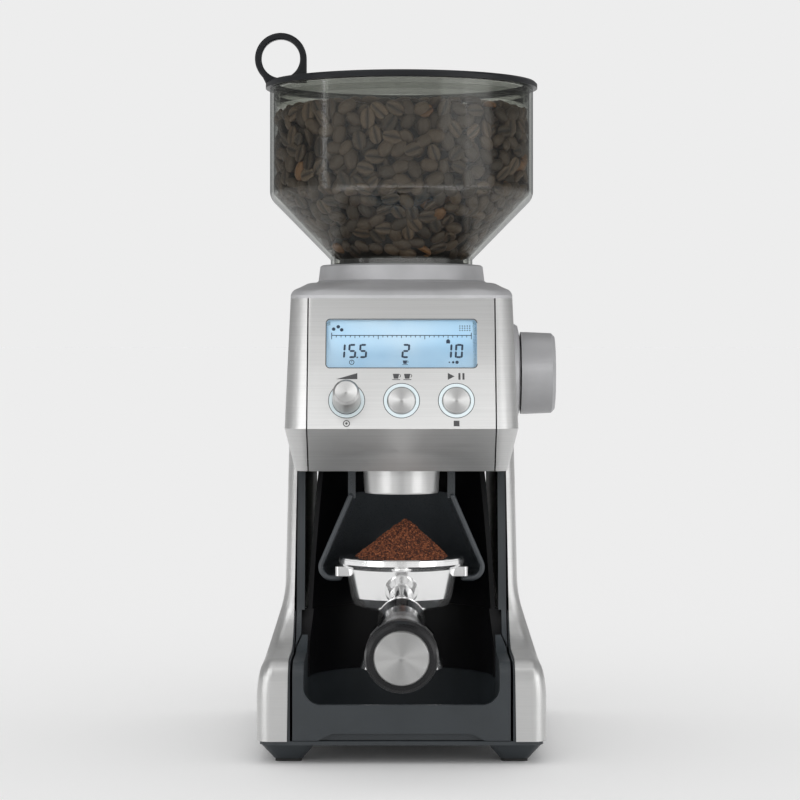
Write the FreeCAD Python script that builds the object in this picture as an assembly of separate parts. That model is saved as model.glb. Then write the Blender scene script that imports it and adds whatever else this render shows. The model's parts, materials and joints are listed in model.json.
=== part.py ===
import FreeCAD, Part
import math
import os

V = FreeCAD.Vector

# Sizes are millimetres. The burr axis is x = 0, y = 0, the front is -y and the counter is z = 0.

# Steel skin
skin = 1.2
base_half = 74.0
base_front = -108.0
rear_face = 98.0
skirt_z = 11.6
flare_low_z = 42.0
flare_high_z = 79.0
waist_half = 62.6
crease_half = 61.0
crease_front = -85.0
crease_z = 170.0
head_top_half = 58.8
head_top_z = 238.0
panel_lean = 18.5
chin_half = 56.0
chin_front = -62.0
chin_z = 147.0
head_corner = 12.0
chin_corner = 7.0
rear_corner = 10.0
edge_roll = 7.0
edge_top_y = -18.0
edge_bend_y = -38.0
shelf_z = 53.0
edge_bend_radius = 28.0
leg_top_radius = 11.0
flare_radius = 60.0
bay_half_top = 56.5
bay_half_low = 58.5
fascia_half = 48.75
fascia_back_y = -30.0
seam = 0.7

# Clearances
rest_gap = 0.3
slide_gap = 0.6
running_fit = 0.05
button_gap = 0.3
fixed_fit = 0.1

# Cutting tools run past a face by a little, or right through
past = 1.0
reach = 200.0
skin_overrun = 6.0
join_tolerance = 0.005

# Base and tray
foot_pad_height = 1.6
foot_height = 9.6
foot_top_half = (14.0, 15.0)
foot_low_half = (7.4, 9.0)
foot_corner = 4.0
pad_inset = 0.6
foot_side_inset = 16.0
foot_end_inset = 20.0
cheek_wall = 1.3
cheek_back_y = -32.0
tray_side_gap = 1.3
tray_bar_z = 30.0
tray_floor = 2.2
tray_wall = 3.6
tray_top_z = 71.0
tray_back_z = 36.0
tray_corner = 9.0
tray_grip_half = 42.5
tray_grip_slope = 7.0
tray_grip_rise = 3.6
tray_step = 2.6
tray_step_low_z = 53.0
tray_step_high_z = 58.5
edge_setback = 1.6

# Bay, outlet and cradle
bay_center_y = -42.0
liner_wall = 2.4
ceiling_wall = 2.5
ceiling_back_y = 14.0
band_proud = 0.8
outlet_y = -38.0
outlet_top_r = 20.5
outlet_low_r = 19.5
outlet_z = 134.5
chute_r = 11.5
chute_wall = 1.5
trim_lap = 0.4
trim_depth = 5.0
cradle_mouth = 5.1
cradle_spread = 8.9
cradle_room = 5.5
cradle_low_z = 95.0
cradle_wall = 2.0
cradle_drop = 0.5
cradle_round = 6.0
bend_steps = 8
bead_r = 1.5
ledge_top_z = 90.2
ledge_room = 2.4
ledge_thick = 2.6
ledge_length = 18.0
rail_length = 22.0
rail_depth = 2.5
trigger_half = 5.0
trigger_low_z = 92.0
trigger_high_z = 103.0
trigger_travel = 3.0
trigger_margin = 1.5
trigger_round = 1.5
trigger_switch_depth = 6.8
plunger_length = 3.0
plunger_half = 2.0

# Portafilter
rim_r = 33.6
rim_z = 99.4
rim_width = 4.0
bowl_taper = 2.6
bowl_low_z = 73.0
bowl_wall = 1.8
bowl_floor = 3.0
basket_wall = 0.9
basket_floor_z = 79.0
basket_lip = 1.3
basket_step = 4.2
lug_proud = 1.8
lug_half = 9.0
lug_height = 5.0
lug_round = 2.0
spout_x = 18.6
spout_bend_x = 13.5
spout_z = 40.0
spout_r = 4.5
spout_bore = 3.0
spout_drop = 17.0
hub_r = 9.5
hub_height = 9.0
neck_sunk = 1.0
neck_z = 84.5
neck_run = 36.0
ferrule_z = 72.5
ferrule_r = 12.3
ferrule_length = 26.0
handle_run = 85.0
handle_end_z = 63.0
handle_end_r = 17.9
end_disc_r = 13.6
end_disc_thick = 4.0

# Hopper and lid
collar_width = 6.6
collar_taper = 1.3
collar_low_z = 248.4
collar_top_z = 257.0
collar_step = 1.0
cap_wall = 2.4
cap_band = 1.6
dome_corner_step = 3.5
dome_back = 12.0
seat_z = 243.0
seat_thick = 2.6
neck_step = 5.4
neck_gap = 1.2
throat_gap = 1.0
neck_top_z = 260.0
hopper_r = 72.2
hopper_wall = 2.0
shoulder_z = 294.0
hopper_rim_z = 353.6
shoulder_round = 9.0
lid_thick = 3.4
lid_skirt = 9.0
lid_overhang = 2.3
lid_skirt_wall = 2.0
lid_edge = 1.2
seal_thick = 1.2
seal_height = 3.0
pull_x = -66.3
pull_z = 370.6
pull_r = 14.2
pull_hole_r = 10.6
pull_half_thick = 2.6
pull_round = 1.1
gate_windows = 4
window_angle = 40.0
window_rim = 5.0
window_inner_r = 12.0
hopper_floor = 3.6
insert_gap = 0.2
gate_gap = 0.4
gate_thick = 2.0
gate_pin_r = 6.0
gate_boss_r = 9.0
gate_boss_height = 8.0
wing_half = 17.0
wing_thick = 7.0
wing_height = 21.0
wing_round = 3.0

# Front panel
display_half = 39.5
display_height = 26.4
display_up = 46.6
display_corner = 2.0
lens_gap = 0.2
lens_sunk = 0.5
lens_thick = 1.5
module_margin = 2.2
module_corner = 1.0
control_up = 15.2
control_pitch = 28.5
button_r = 7.2
halo_width = 2.0
halo_proud = 0.5
knob_gap = 0.1
knob_taper = 0.5
knob_height = 16.0
knob_roof = 4.0
stem_r = 3.0
cap_stem_r = 2.4
cap_skirt = 1.2
cap_rim = 1.4
cap_edge = 0.5
cap_dish = 0.9
board_depth = 9.0
board_thick = 1.6
board_half = 46.0
board_low = 4.0
board_high = 66.0
board_corner = 2.0
switch_half = 3.0
switch_height = 3.4
switch_tip = 0.7
switch_tip_r = 1.7
encoder_half = 5.5
encoder_height = 5.4
encoder_floor = 2.0
guide_depth = 1.4
guide_thick = 2.0
guide_half = 44.0
guide_margin = 10.5
guide_corner = 3.0
peg_x = 42.0
peg_up = 8.0
peg_r = 2.0
push_travel = 0.8
push_spare = 0.2

# Grind size dial
dial_z = 198.0
dial_face_x = 84.2
dial_base_x = 65.2
dial_r = 22.5
dial_face_r = 21.6
escutcheon_r = 27.5
escutcheon_x = 64.6
escutcheon_depth = 9.6
dial_shaft_r = 4.0
dial_boss_r = 8.0
dial_boss_gap = 3.0
crown_module = 1.5
crown_overhang = 5.5
dial_teeth = 10
crown_face = 5.4
crown_tip_half = 0.62
crown_root_half = 1.35

# Grinding chamber and burrs
chamber_inner = 31.0
chamber_wall = 2.5
chamber_floor_z = 186.0
chamber_floor = 3.0
chamber_top_z = 214.0
flange_width = 2.4
flange_height = 6.0
stand_r = 25.0
exit_half = 8.0
exit_height = 10.0
seal_lap = 4.0
ring_height = 6.0
carrier_top_z = 236.0
carrier_lip = 3.0
burr_low_z = 201.0
cone_low_r = 19.0
cone_top_r = 9.0
cone_height = 27.0
cone_land = 2.0
ring_burr_height = 18.0
ring_burr_r = 25.0
ring_burr_flare = 1.0
burr_gap = 1.0
burr_flutes = 12
flute_depth = 1.0
flute_half = 0.9
flute_slant = 16.0
nut_half = 6.4
nut_corner = 2.6
nut_height = 5.0
spindle_end = 2.0
impeller_gap = 0.8
impeller_thick = 2.2
impeller_vanes = 4
vane_height = 8.0
shaft_r = 5.0
spindle_r = 4.0

# Gear train and motor
main_teeth = 46
main_module = 0.9
lay_pinion_teeth = 14
lay_wheel_teeth = 44
lay_module = 0.8
motor_teeth = 12
pressure_angle = 25.0
tooth_share = 0.42
addendum = 0.85
dedendum = 1.25
low_gear_z = 159.6
low_gear_face = 5.0
high_gear_z = 166.4
high_gear_face = 6.5
case_half = 28.0
case_wall = 2.0
case_floor = 2.5
case_top_z = 175.5
lid_plate = 3.0
case_corner = 5.0
case_front_gap = 4.2
case_behind_motor = 14.0
lay_shaft_r = 3.0
motor_shaft_r = 2.5
motor_r = 25.0
motor_wall = 1.6
motor_low_z = 66.0
motor_end = 3.0
commutator_r = 8.0
commutator_low = 8.0
stack_low = 22.0
bracket_thick = 4.0
bearing_r = 9.0
bearing_height = 5.0
bush_r = 5.0
screw_r = 1.5
screw_head_r = 2.9
screw_head = 2.0
screw_length = 9.0

# Rear and electrics
cover_thick = 2.2
cover_flange = 1.6
cover_screw_x = 40.0
cover_screw_z = (30.0, 226.0)
screw_sunk = 0.6
vent_count = 9
vent_pitch = 7.0
vent_height = 3.2
vent_half = 30.0
vent_low_z = 60.0
gland_z = 26.0
gland_r = 7.0
gland_bore = 3.7
gland_proud = 6.0
gland_flange = 2.0
power_board_depth = 12.5
power_board_thick = 1.6
power_board_half = 42.0
power_board_low = 14.8
power_board_top = 128.0
power_post_x = 34.0
power_post_half = 4.0
power_post_height = 11.0
# Blocks on the power board: left, right, bottom, top, height
power_blocks = ((-30.0, -10.0, 60.0, 85.0, 3.7), (12.0, 30.0, 90.0, 112.0, 4.7))

# Values worked out from the sizes above
lean_tan = math.tan(math.radians(panel_lean))
head_top_front = crease_front + (head_top_z - crease_z) * lean_tan
foot_x = base_half - foot_side_inset
foot_front_y = base_front + foot_end_inset
foot_rear_y = rear_face - foot_end_inset
bowl_top_r = rim_r - rim_width
bowl_low_r = bowl_top_r - bowl_taper
lug_r = rim_r + lug_proud
neck_y = outlet_y - bowl_low_r + neck_sunk
ferrule_y = neck_y - neck_run
handle_end_y = ferrule_y - handle_run
cradle_top_r = outlet_top_r + cradle_mouth
cradle_low_r = rim_r + cradle_spread
ledge_inner = bowl_top_r + ledge_room
bay_radius = cradle_low_r + cradle_wall + cradle_room
trim_inner = bay_radius + liner_wall - trim_lap
tray_half = bay_half_low - rest_gap - cheek_wall - tray_side_gap
tray_inner_half = bay_radius
chamber_r = chamber_inner + chamber_wall
neck_r = chamber_r + neck_step
collar_r = neck_r + collar_width
collar_top_r = collar_r - collar_taper
halo_r = button_r + halo_width
knob_r = button_r + button_gap - knob_gap
knob_end_r = knob_r - knob_taper
gland_end = rear_face + gland_proud
power_board_y = rear_face - power_board_depth
ceiling_z = chin_z
ceiling_top_z = ceiling_z + ceiling_wall
crown_teeth = round(2 * (chamber_r + crown_overhang) / crown_module)
crown_r = crown_module * crown_teeth / 2
dial_pitch_r = crown_module * dial_teeth / 2
crown_pitch_z = dial_z + dial_pitch_r
ring_low_z = crown_pitch_z + crown_module
flange_top_z = ring_low_z - rest_gap
flange_low_z = flange_top_z - flange_height
carrier_r = chamber_inner - rest_gap
lay_y = main_module * (main_teeth + lay_pinion_teeth) / 2
motor_y = lay_y + lay_module * (lay_wheel_teeth + motor_teeth) / 2
lid_low_z = hopper_rim_z + rest_gap
neck_inner = neck_r - hopper_wall
tray_low_z = skirt_z + rest_gap
gear_floor_z = ceiling_top_z + case_floor
low_gear_top_z = low_gear_z + low_gear_face
high_gear_top_z = high_gear_z + high_gear_face
control_spots = (-control_pitch, 0.0, control_pitch)

# Rise and inward share of the cap dome from the band to the collar
dome_stations = ((0.0, 0.0), (0.2, 0.05), (0.42, 0.2), (0.64, 0.45), (0.86, 0.82), (1.0, 1.0))


def box(x0, x1, y0, y1, z0, z1):
    return Part.makeBox(x1 - x0, y1 - y0, z1 - z0, V(x0, y0, z0))


def post(radius, z0, z1, x=0.0, y=0.0):
    return Part.makeCylinder(radius, z1 - z0, V(x, y, z0))


def ring(outer, inner, z0, z1, x=0.0, y=0.0):
    return post(outer, z0, z1, x, y).cut(post(inner, z0, z1, x, y))


def rod(radius, start, end):
    return Part.makeCylinder(radius, (end - start).Length, start, end - start)


def x_rod(radius, x0, x1, y, z):
    return rod(radius, V(x0, y, z), V(x1, y, z))


def turned(points, x=0.0, y=0.0):
    """Solid of revolution about a vertical axis, from (radius, height) corners."""
    corners = [V(r, 0, z) for r, z in points]
    face = Part.Face(Part.makePolygon(corners + corners[:1]))
    solid = face.revolve(V(0, 0, 0), V(0, 0, 1), 360)
    solid.translate(V(x, y, 0))
    return solid


def turned_along(points, start, end):
    """Solid of revolution from (radius, distance) corners along the line from start to end."""
    solid = turned(points)
    solid.Placement = FreeCAD.Placement(start, FreeCAD.Rotation(V(0, 0, 1), end - start))
    return solid


def x_prism(points, x0, x1):
    """Outline of (y, z) corners, extruded across the machine."""
    corners = [V(x0, y, z) for y, z in points]
    return Part.Face(Part.makePolygon(corners + corners[:1])).extrude(V(x1 - x0, 0, 0))


def y_prism(points, y0, y1):
    """Outline of (x, z) corners, extruded front to back."""
    corners = [V(x, y0, z) for x, z in points]
    return Part.Face(Part.makePolygon(corners + corners[:1])).extrude(V(0, y1 - y0, 0))


def joined(*shapes, tolerance=0.0):
    return shapes[0].multiFuse(list(shapes[1:]), tolerance).removeSplitter()


def mirrored(shape):
    return shape.mirror(V(0, 0, 0), V(1, 0, 0))


def softened(shape, radius, wanted):
    return shape.makeFillet(radius, [edge for edge in shape.Edges if wanted(edge)])


def middle(edge):
    return edge.valueAt((edge.FirstParameter + edge.LastParameter) / 2)


def rises(edge):
    return abs(edge.Vertexes[0].Z - edge.Vertexes[-1].Z) > 0.5


def level_at(height):
    """Picks the edges that lie wholly in one level plane."""
    def wanted(edge):
        box = edge.BoundBox
        return abs(box.ZMin - height) < 0.01 and abs(box.ZMax - height) < 0.01
    return wanted


def plan_loop(half, front, back, front_corner, rear_corner_radius, z):
    """Rounded rectangle in plan, as a closed wire of four arcs and four lines."""
    corners = [
        (half - front_corner, front + front_corner, front_corner, -90),
        (half - rear_corner_radius, back - rear_corner_radius, rear_corner_radius, 0),
        (rear_corner_radius - half, back - rear_corner_radius, rear_corner_radius, 90),
        (front_corner - half, front + front_corner, front_corner, 180),
    ]
    arcs = []
    for x, y, radius, first in corners:
        turns = [math.radians(first + step) for step in (0, 45, 90)]
        arcs.append([V(x + radius * math.cos(a), y + radius * math.sin(a), z) for a in turns])
    edges = []
    for index, arc in enumerate(arcs):
        edges.append(Part.Arc(*arc).toShape())
        edges.append(Part.LineSegment(arc[2], arcs[(index + 1) % 4][0]).toShape())
    return Part.Wire(edges)


def plan_block(half, front, back, corner, z0, z1):
    return Part.Face(plan_loop(half, front, back, corner, corner, z0)).extrude(V(0, 0, z1 - z0))


def front_block(half, z0, z1, corner, y0, y1):
    """Rounded rectangle in the front view, extruded front to back."""
    block = plan_block(half, z0, z1, corner, 0, y1 - y0)
    block.rotate(V(0, 0, 0), V(1, 0, 0), 90)
    block.translate(V(0, y1, 0))
    return block


def pie(radius, z0, z1, first, angle):
    wedge = Part.makeCylinder(radius, z1 - z0, V(0, 0, z0), V(0, 0, 1), angle)
    wedge.rotate(V(0, 0, 0), V(0, 0, 1), first)
    return wedge


def gear(teeth, module, z0, z1, phase=0.0):
    """Involute spur gear about z, with a tooth on the angle phase."""
    pitch_r = module * teeth / 2
    base_r = pitch_r * math.cos(math.radians(pressure_angle))
    tip_r = pitch_r + addendum * module
    root_r = pitch_r - dedendum * module

    def half_angle(radius):
        def involute(r):
            slope = math.acos(min(1.0, base_r / r))
            return math.tan(slope) - slope
        return tooth_share * math.pi / teeth + involute(pitch_r) - involute(max(radius, base_r))

    radii = [root_r] + [root_r + (tip_r - root_r) * share for share in (0.4, 0.6, 0.8, 1.0)]
    points = []
    for tooth in range(teeth):
        middle_angle = math.radians(phase) + 2 * math.pi * tooth / teeth
        sides = [(r, -half_angle(r)) for r in radii] + [(r, half_angle(r)) for r in reversed(radii)]
        points += [V(r * math.cos(middle_angle + a), r * math.sin(middle_angle + a), z0) for r,
                   a in sides]
    return Part.Face(Part.makePolygon(points + points[:1])).extrude(V(0, 0, z1 - z0))


def on_panel(shape, x=0.0, up=0.0):
    """Moves a shape from the panel's own frame (x across, y up the panel, z out of it) into place."""
    placed = shape.copy()
    placed.translate(V(x, up, 0))
    seat = FreeCAD.Placement(V(0, crease_front, crease_z), FreeCAD.Rotation(V(1, 0, 0), 90 - panel_lean))
    placed.Placement = seat.multiply(placed.Placement)
    return placed


def head_half_at(z):
    return crease_half + (head_top_half - crease_half) * (z - crease_z) / (head_top_z - crease_z)


def edge_outline(setback, bottom):
    """Side view (y, z) of the column, whose front edge sweeps out into a level shelf above the feet."""
    lean = (edge_top_y - edge_bend_y) / (crease_z - shelf_z)
    behind = setback * math.hypot(1, lean)
    return [
        (rear_face - setback, bottom),
        (rear_face - setback, crease_z),
        (edge_top_y + behind, crease_z),
        (edge_bend_y + behind - lean * setback, shelf_z - setback),
        (base_front + setback, shelf_z - setback),
        (base_front + setback, bottom),
    ]


def edge_prism(setback, bottom, half):
    """The swept side view as a block across the machine, with its bends rounded."""
    block = x_prism(edge_outline(setback, bottom), -half, half)
    outline = edge_outline(setback, bottom)
    bend = outline[3]
    leg = outline[4]

    def at(corner):
        return lambda edge: math.hypot(middle(edge).y - corner[0], middle(edge).z - corner[1]) < 0.01

    block = softened(block, edge_bend_radius + setback, at(bend))
    return softened(block, leg_top_radius - setback, at(leg))


def column(inset, bottom):
    """Column, flare and legs: the swept side view within the flared front view."""
    halves = [(crease_half, crease_z), (waist_half, flare_high_z), (base_half, flare_low_z),
              (base_half, bottom)]
    right = [(half - inset, z) for half, z in halves]
    left = [(-half, z) for half, z in reversed(right)]
    front_view = y_prism(right + left, base_front - 1, rear_face + 1)
    for half, z, radius in ((waist_half, flare_high_z, flare_radius + inset),
                            (base_half, flare_low_z, flare_radius - inset)):
        front_view = softened(front_view, radius,
                              lambda edge: abs(abs(middle(edge).x) - half + inset) < 0.01
                              and abs(middle(edge).z - z) < 0.01)
    body = front_view.common(edge_prism(inset, bottom, base_half + 1))
    body = softened(body, edge_roll - inset, lambda edge: rises(edge) and middle(edge).y < 0)
    return softened(body, rear_corner - inset, lambda edge: rises(edge) and middle(edge).y > 0)


def head(inset, top):
    loops = []
    for z in (crease_z, top):
        front = crease_front + (z - crease_z) * lean_tan + inset
        loops.append(plan_loop(head_half_at(z) - inset, front, rear_face - inset,
                               head_corner - inset, rear_corner - inset, z))
    return Part.makeLoft(loops, True, True)


def chin(inset, bottom):
    loops = []
    for z in (bottom, crease_z):
        share = (z - chin_z) / (crease_z - chin_z)
        half = chin_half + (crease_half - chin_half) * share
        front = chin_front + (crease_front - chin_front) * share
        corner = chin_corner + (head_corner - chin_corner) * share
        loops.append(plan_loop(half - inset, front + inset, 0.0, corner - inset, chin_corner - inset, z))
    return Part.makeLoft(loops, True, True)


def skin_block(inset, overrun):
    """Solid within the steel skin, run past its open top and bottom by overrun."""
    return joined(head(inset, head_top_z + overrun), chin(inset, chin_z - overrun),
                  column(inset, skirt_z - overrun), tolerance=join_tolerance)


def bay_cutter():
    points = [(-bay_half_low, 0), (bay_half_low, 0), (bay_half_top, chin_z), (-bay_half_top, chin_z)]
    return y_prism(points, base_front - past, bay_center_y + bay_radius + liner_wall)


outer_block = skin_block(0.0, 0.0)
inner_block = skin_block(skin, skin_overrun)
steel_shell = outer_block.cut(inner_block)


def side_panels():
    skin_sides = steel_shell.cut(bay_cutter())
    edge = fascia_half + seam
    left = skin_sides.common(box(-reach, -edge, -reach, reach, 0, head_top_z))
    right = skin_sides.common(box(edge, reach, -reach, reach, 0, head_top_z))
    dial_hole = x_rod(dial_boss_r + 0.2, edge, reach, 0, dial_z)
    return {"left_side_panel": left, "right_side_panel": right.cut(dial_hole)}


def control_fascia():
    front = box(-fascia_half, fascia_half, crease_front - past, fascia_back_y, chin_z, head_top_z)
    panel = steel_shell.common(front)
    window = rounded_plate(display_half, display_height / 2, display_corner, -board_depth, board_depth)
    panel = panel.cut(on_panel(window, 0, display_up))
    for x in control_spots:
        panel = panel.cut(on_panel(post(halo_r + fixed_fit, -board_depth, board_depth), x, control_up))
    return {"control_fascia": panel}


def rounded_plate(half, half_high, corner, z0, z1):
    return plan_block(half, -half_high, half_high, corner, z0, z1)


def display():
    lens_low = lens_sunk + lens_thick
    lens = rounded_plate(display_half - lens_gap, display_height / 2 - lens_gap, display_corner,
                         -lens_low, -lens_sunk)
    module = rounded_plate(display_half + module_margin, display_height / 2 + module_margin,
                           module_corner,
                           -board_depth, -lens_low)
    return {"display_lens": on_panel(lens, 0, display_up),
            "display_module": on_panel(module, 0, display_up)}


def control_board():
    """Board behind the panel, with a push switch under each button and an encoder under the knob."""
    board = plan_block(board_half, board_low, board_high, board_corner, -board_depth - board_thick,
                       -board_depth)
    top = switch_height - board_depth
    switches = []
    for x in control_spots[1:]:
        body = box(x - switch_half, x + switch_half, control_up - switch_half, control_up + switch_half,
                   -board_depth, top)
        switches.append(joined(body, post(switch_tip_r, top, top + switch_tip, x, control_up)))
    x = control_spots[0]
    encoder = box(x - encoder_half, x + encoder_half, control_up - encoder_half,
                  control_up + encoder_half,
                  -board_depth, encoder_height - board_depth)
    socket = post(stem_r + running_fit, encoder_floor - board_depth, 0, x, control_up)
    switches.append(encoder.cut(socket))
    return {"control_board": on_panel(board), "panel_switches": on_panel(Part.makeCompound(switches))}


def button_halos():
    """Light guide behind the panel, with a ring through it round each control and pegs to the board."""
    back = -guide_depth - guide_thick
    solids = [plan_block(guide_half, control_up - guide_margin, control_up + guide_margin, guide_corner,
                         back, -guide_depth)]
    for x in control_spots:
        solids.append(post(halo_r, back, halo_proud, x, control_up))
    for x in (-peg_x, peg_x):
        for up in (control_up - peg_up, control_up + peg_up):
            solids.append(post(peg_r, -board_depth, back, x, up))
    guide = joined(*solids)
    for x in control_spots:
        guide = guide.cut(post(button_r + button_gap, back - past, halo_proud + past, x, control_up))
    return {"button_halos": on_panel(guide)}


def buttons():
    """Spun caps with a shallow dish in the face, on a stem that reaches its switch, and the push knob."""
    tip_z = switch_height + switch_tip - board_depth
    foot = tip_z + push_travel + push_spare
    cap = turned([(0, foot), (cap_stem_r, foot), (cap_stem_r, -cap_skirt), (button_r, -cap_skirt),
                  (button_r, cap_rim - cap_edge), (button_r - cap_edge, cap_rim), (0, cap_rim - cap_dish)])
    stem_top = knob_height - knob_roof
    stem_low = encoder_floor - board_depth + push_travel + push_spare
    stem = post(stem_r, stem_low, stem_top)
    knob_low = push_travel + running_fit
    knob = turned([(0, knob_low), (knob_r - 1.0, knob_low), (knob_r, knob_low + cap_edge),
                   (knob_end_r, knob_height - 1.3), (knob_end_r - 1.2, knob_height),
                   (knob_end_r - 1.7, knob_height - 0.1), (0, knob_height - cap_dish)])
    knob = knob.cut(post(stem_r + running_fit, 0, stem_top + rest_gap))
    knob_x, shots_x, start_x = control_spots
    return {
        "shots_button": on_panel(cap, shots_x, control_up),
        "start_button": on_panel(cap, start_x, control_up),
        "encoder_stem": on_panel(stem, knob_x, control_up),
        "grind_amount_knob": on_panel(knob, knob_x, control_up),
    }


def dome(inset):
    """Cap dome, from the plan of the head to a near round top under the collar."""
    low = head_top_z + cap_band - inset
    rise = collar_low_z - head_top_z - cap_band
    loops = []
    for up, inward in dome_stations:
        corner = head_corner + (collar_r - dome_corner_step - head_corner) * inward
        half = head_top_half + (collar_r - head_top_half) * inward - inset
        front = head_top_front + (-collar_r - head_top_front) * inward + inset
        back = rear_face + (collar_r + dome_back - rear_face) * inward - inset
        loops.append(plan_loop(half, front, back, corner - inset, corner - inset, low + rise * up))
    crown = Part.makeLoft(loops, True, False)
    band = plan_block(head_top_half - inset, head_top_front + inset, rear_face - inset,
                      head_corner - inset,
                      low - cap_band, low)
    return crown.fuse(band)


def top_cap():
    foot_r = collar_r - collar_step
    step_z = collar_low_z - collar_step
    collar = turned([(0, seat_z), (foot_r, seat_z), (foot_r, step_z), (collar_r, step_z),
                     (collar_r, collar_low_z + 0.5),
                     (collar_top_r + 0.4, collar_top_z - 0.8), (collar_top_r - 0.6, collar_top_z),
                     (0, collar_top_z)])
    shell = dome(0.0).cut(dome(cap_wall)).fuse(collar)
    bore = post(neck_r + neck_gap, seat_z + seat_thick, collar_top_z + past)
    throat = post(chamber_r + throat_gap, seat_z - past, collar_top_z)
    return {"top_cap": shell.cut(bore).cut(throat).removeSplitter()}


def windows(z0, z1):
    """Cutter for the ring of bean windows through the hopper floor and its gate."""
    pies = []
    for index in range(gate_windows):
        first = (index + 0.5) * 360 / gate_windows - window_angle / 2
        pies.append(pie(neck_inner - window_rim, z0, z1, first, window_angle))
    return pies[0].multiFuse(pies[1:]).cut(post(window_inner_r, z0, z1))


def hopper():
    """Clear funnel, its floor insert with bean windows and the turning gate above them."""
    low = seat_z + seat_thick + rest_gap
    inner_r = hopper_r - hopper_wall
    outline = [(neck_r, low), (neck_r, neck_top_z), (hopper_r, shoulder_z), (hopper_r, hopper_rim_z),
               (inner_r, hopper_rim_z), (inner_r, shoulder_z + 2.4), (inner_r - 0.7, shoulder_z + 1.6),
               (neck_inner, neck_top_z + 1.0), (neck_inner, low)]
    on_shoulder = level_at(shoulder_z)
    funnel = softened(turned(outline), shoulder_round,
                      lambda edge: on_shoulder(edge) and abs(edge.BoundBox.XMax - hopper_r) < 0.01)
    floor_top = low + hopper_floor
    insert_r = neck_inner - insert_gap
    wall_r = insert_r - hopper_wall
    insert = ring(insert_r, wall_r, low, neck_top_z - hopper_wall).fuse(post(insert_r, low, floor_top))
    insert = insert.cut(windows(low - past, floor_top + past))
    insert = insert.cut(post(gate_pin_r, low - past, floor_top + past))
    gate_low = floor_top + rest_gap
    gate_top = gate_low + gate_thick
    disc = post(wall_r - gate_gap, gate_low, gate_top).cut(windows(gate_low - past, gate_top + past))
    wing = box(-wing_half, wing_half, -wing_thick / 2, wing_thick / 2, gate_low + past,
               gate_low + wing_height)
    wing = softened(wing, wing_round, rises)
    boss = post(gate_boss_r, gate_low, gate_low + gate_boss_height)
    gate = joined(disc, boss, wing, post(gate_pin_r - running_fit, low + rest_gap, gate_low + past))
    return {"bean_hopper": funnel, "hopper_base": insert.removeSplitter(), "hopper_gate": gate}


def lid():
    """Flat lid with a skirt and seal inside the rim, and an upright finger ring over its edge."""
    top = lid_low_z + lid_thick
    outer = hopper_r + lid_overhang
    skirt_r = hopper_r - hopper_wall - seal_thick - rest_gap
    skirt_low = lid_low_z - lid_skirt
    disc = turned([(0, lid_low_z), (skirt_r - lid_skirt_wall, lid_low_z),
                   (skirt_r - lid_skirt_wall, skirt_low),
                   (skirt_r, skirt_low), (skirt_r, lid_low_z), (outer, lid_low_z), (outer, top - lid_edge),
                   (outer - lid_edge, top), (0, top)])
    washer = rod(pull_r, V(pull_x, -pull_half_thick, pull_z), V(pull_x, pull_half_thick, pull_z))
    web = y_prism([(pull_x + pull_r, pull_z), (pull_x + pull_r, top - 1.0), (2.0 - outer, top - 1.0),
                   (0.6 - outer, top - 1.6), (pull_x - pull_r + 0.4, pull_z - 2.4), (pull_x, pull_z)],
                  -pull_half_thick, pull_half_thick)
    hole = rod(pull_hole_r, V(pull_x, -pull_r, pull_z), V(pull_x, pull_r, pull_z))
    pull = washer.fuse(web).cut(hole).removeSplitter()
    pull = softened(pull, pull_round, lambda edge: abs(abs(middle(edge).y) - pull_half_thick) < 0.01
                    and middle(edge).z > top + pull_round / 2)
    seal = ring(skirt_r + seal_thick, skirt_r, skirt_low + seal_height, skirt_low + 2 * seal_height)
    return {"hopper_lid": joined(disc, pull), "lid_seal": seal}


def base():
    """Base pan with four horn feet, upright cheeks beside the tray and slotted posts for the power board."""
    inset = skin + rest_gap
    pan = plan_block(base_half - inset, base_front + inset, rear_face - inset, edge_roll, foot_height,
                     skirt_z)
    cheek_outer = bay_half_low - rest_gap
    cheek = edge_prism(edge_setback, skirt_z - past, base_half).common(
        box(cheek_outer - cheek_wall, cheek_outer, base_front, cheek_back_y, skirt_z - past, tray_top_z))
    solids = [pan, cheek, mirrored(cheek)]
    top_x, top_y = foot_top_half
    low_x, low_y = foot_low_half
    top_loop = plan_loop(top_x, -top_y, top_y, foot_corner, foot_corner, foot_height)
    low_loop = plan_loop(low_x, -low_y, low_y, foot_corner - 1.0, foot_corner - 1.0, foot_pad_height)
    pad = plan_block(low_x - pad_inset, pad_inset - low_y, low_y - pad_inset,
                     foot_corner - 1.0 - pad_inset,
                     0, foot_pad_height)
    pads = []
    for x in (-foot_x, foot_x):
        for y in (foot_front_y, foot_rear_y):
            horn = Part.makeLoft([low_loop, top_loop], True, True)
            horn.translate(V(x, y, 0))
            solids.append(horn)
            pads.append(pad.translated(V(x, y, 0)))
    slot_half = power_board_thick / 2 + running_fit
    for x in (-power_post_x, power_post_x):
        upright = box(x - power_post_half, x + power_post_half, power_board_y - power_post_half,
                      power_board_y + power_post_half, skirt_z - past,
                      power_board_low + power_post_height)
        solids.append(upright.cut(box(x - reach, x + reach, power_board_y - slot_half,
                                      power_board_y + slot_half,
                                      power_board_low, reach)))
    return {"base_frame": joined(*solids), "rubber_feet": Part.makeCompound(pads)}


def half_round_plan(radius, half, front, z0, z1):
    """Plan of the bay: straight sides at half, closed behind by a half circle about the bay centre."""
    back = post(radius, z0, z1, 0, bay_center_y).common(
        box(-radius, radius, bay_center_y, bay_center_y + radius, z0, z1))
    return back.fuse(box(-half, half, front, bay_center_y, z0, z1))


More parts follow.
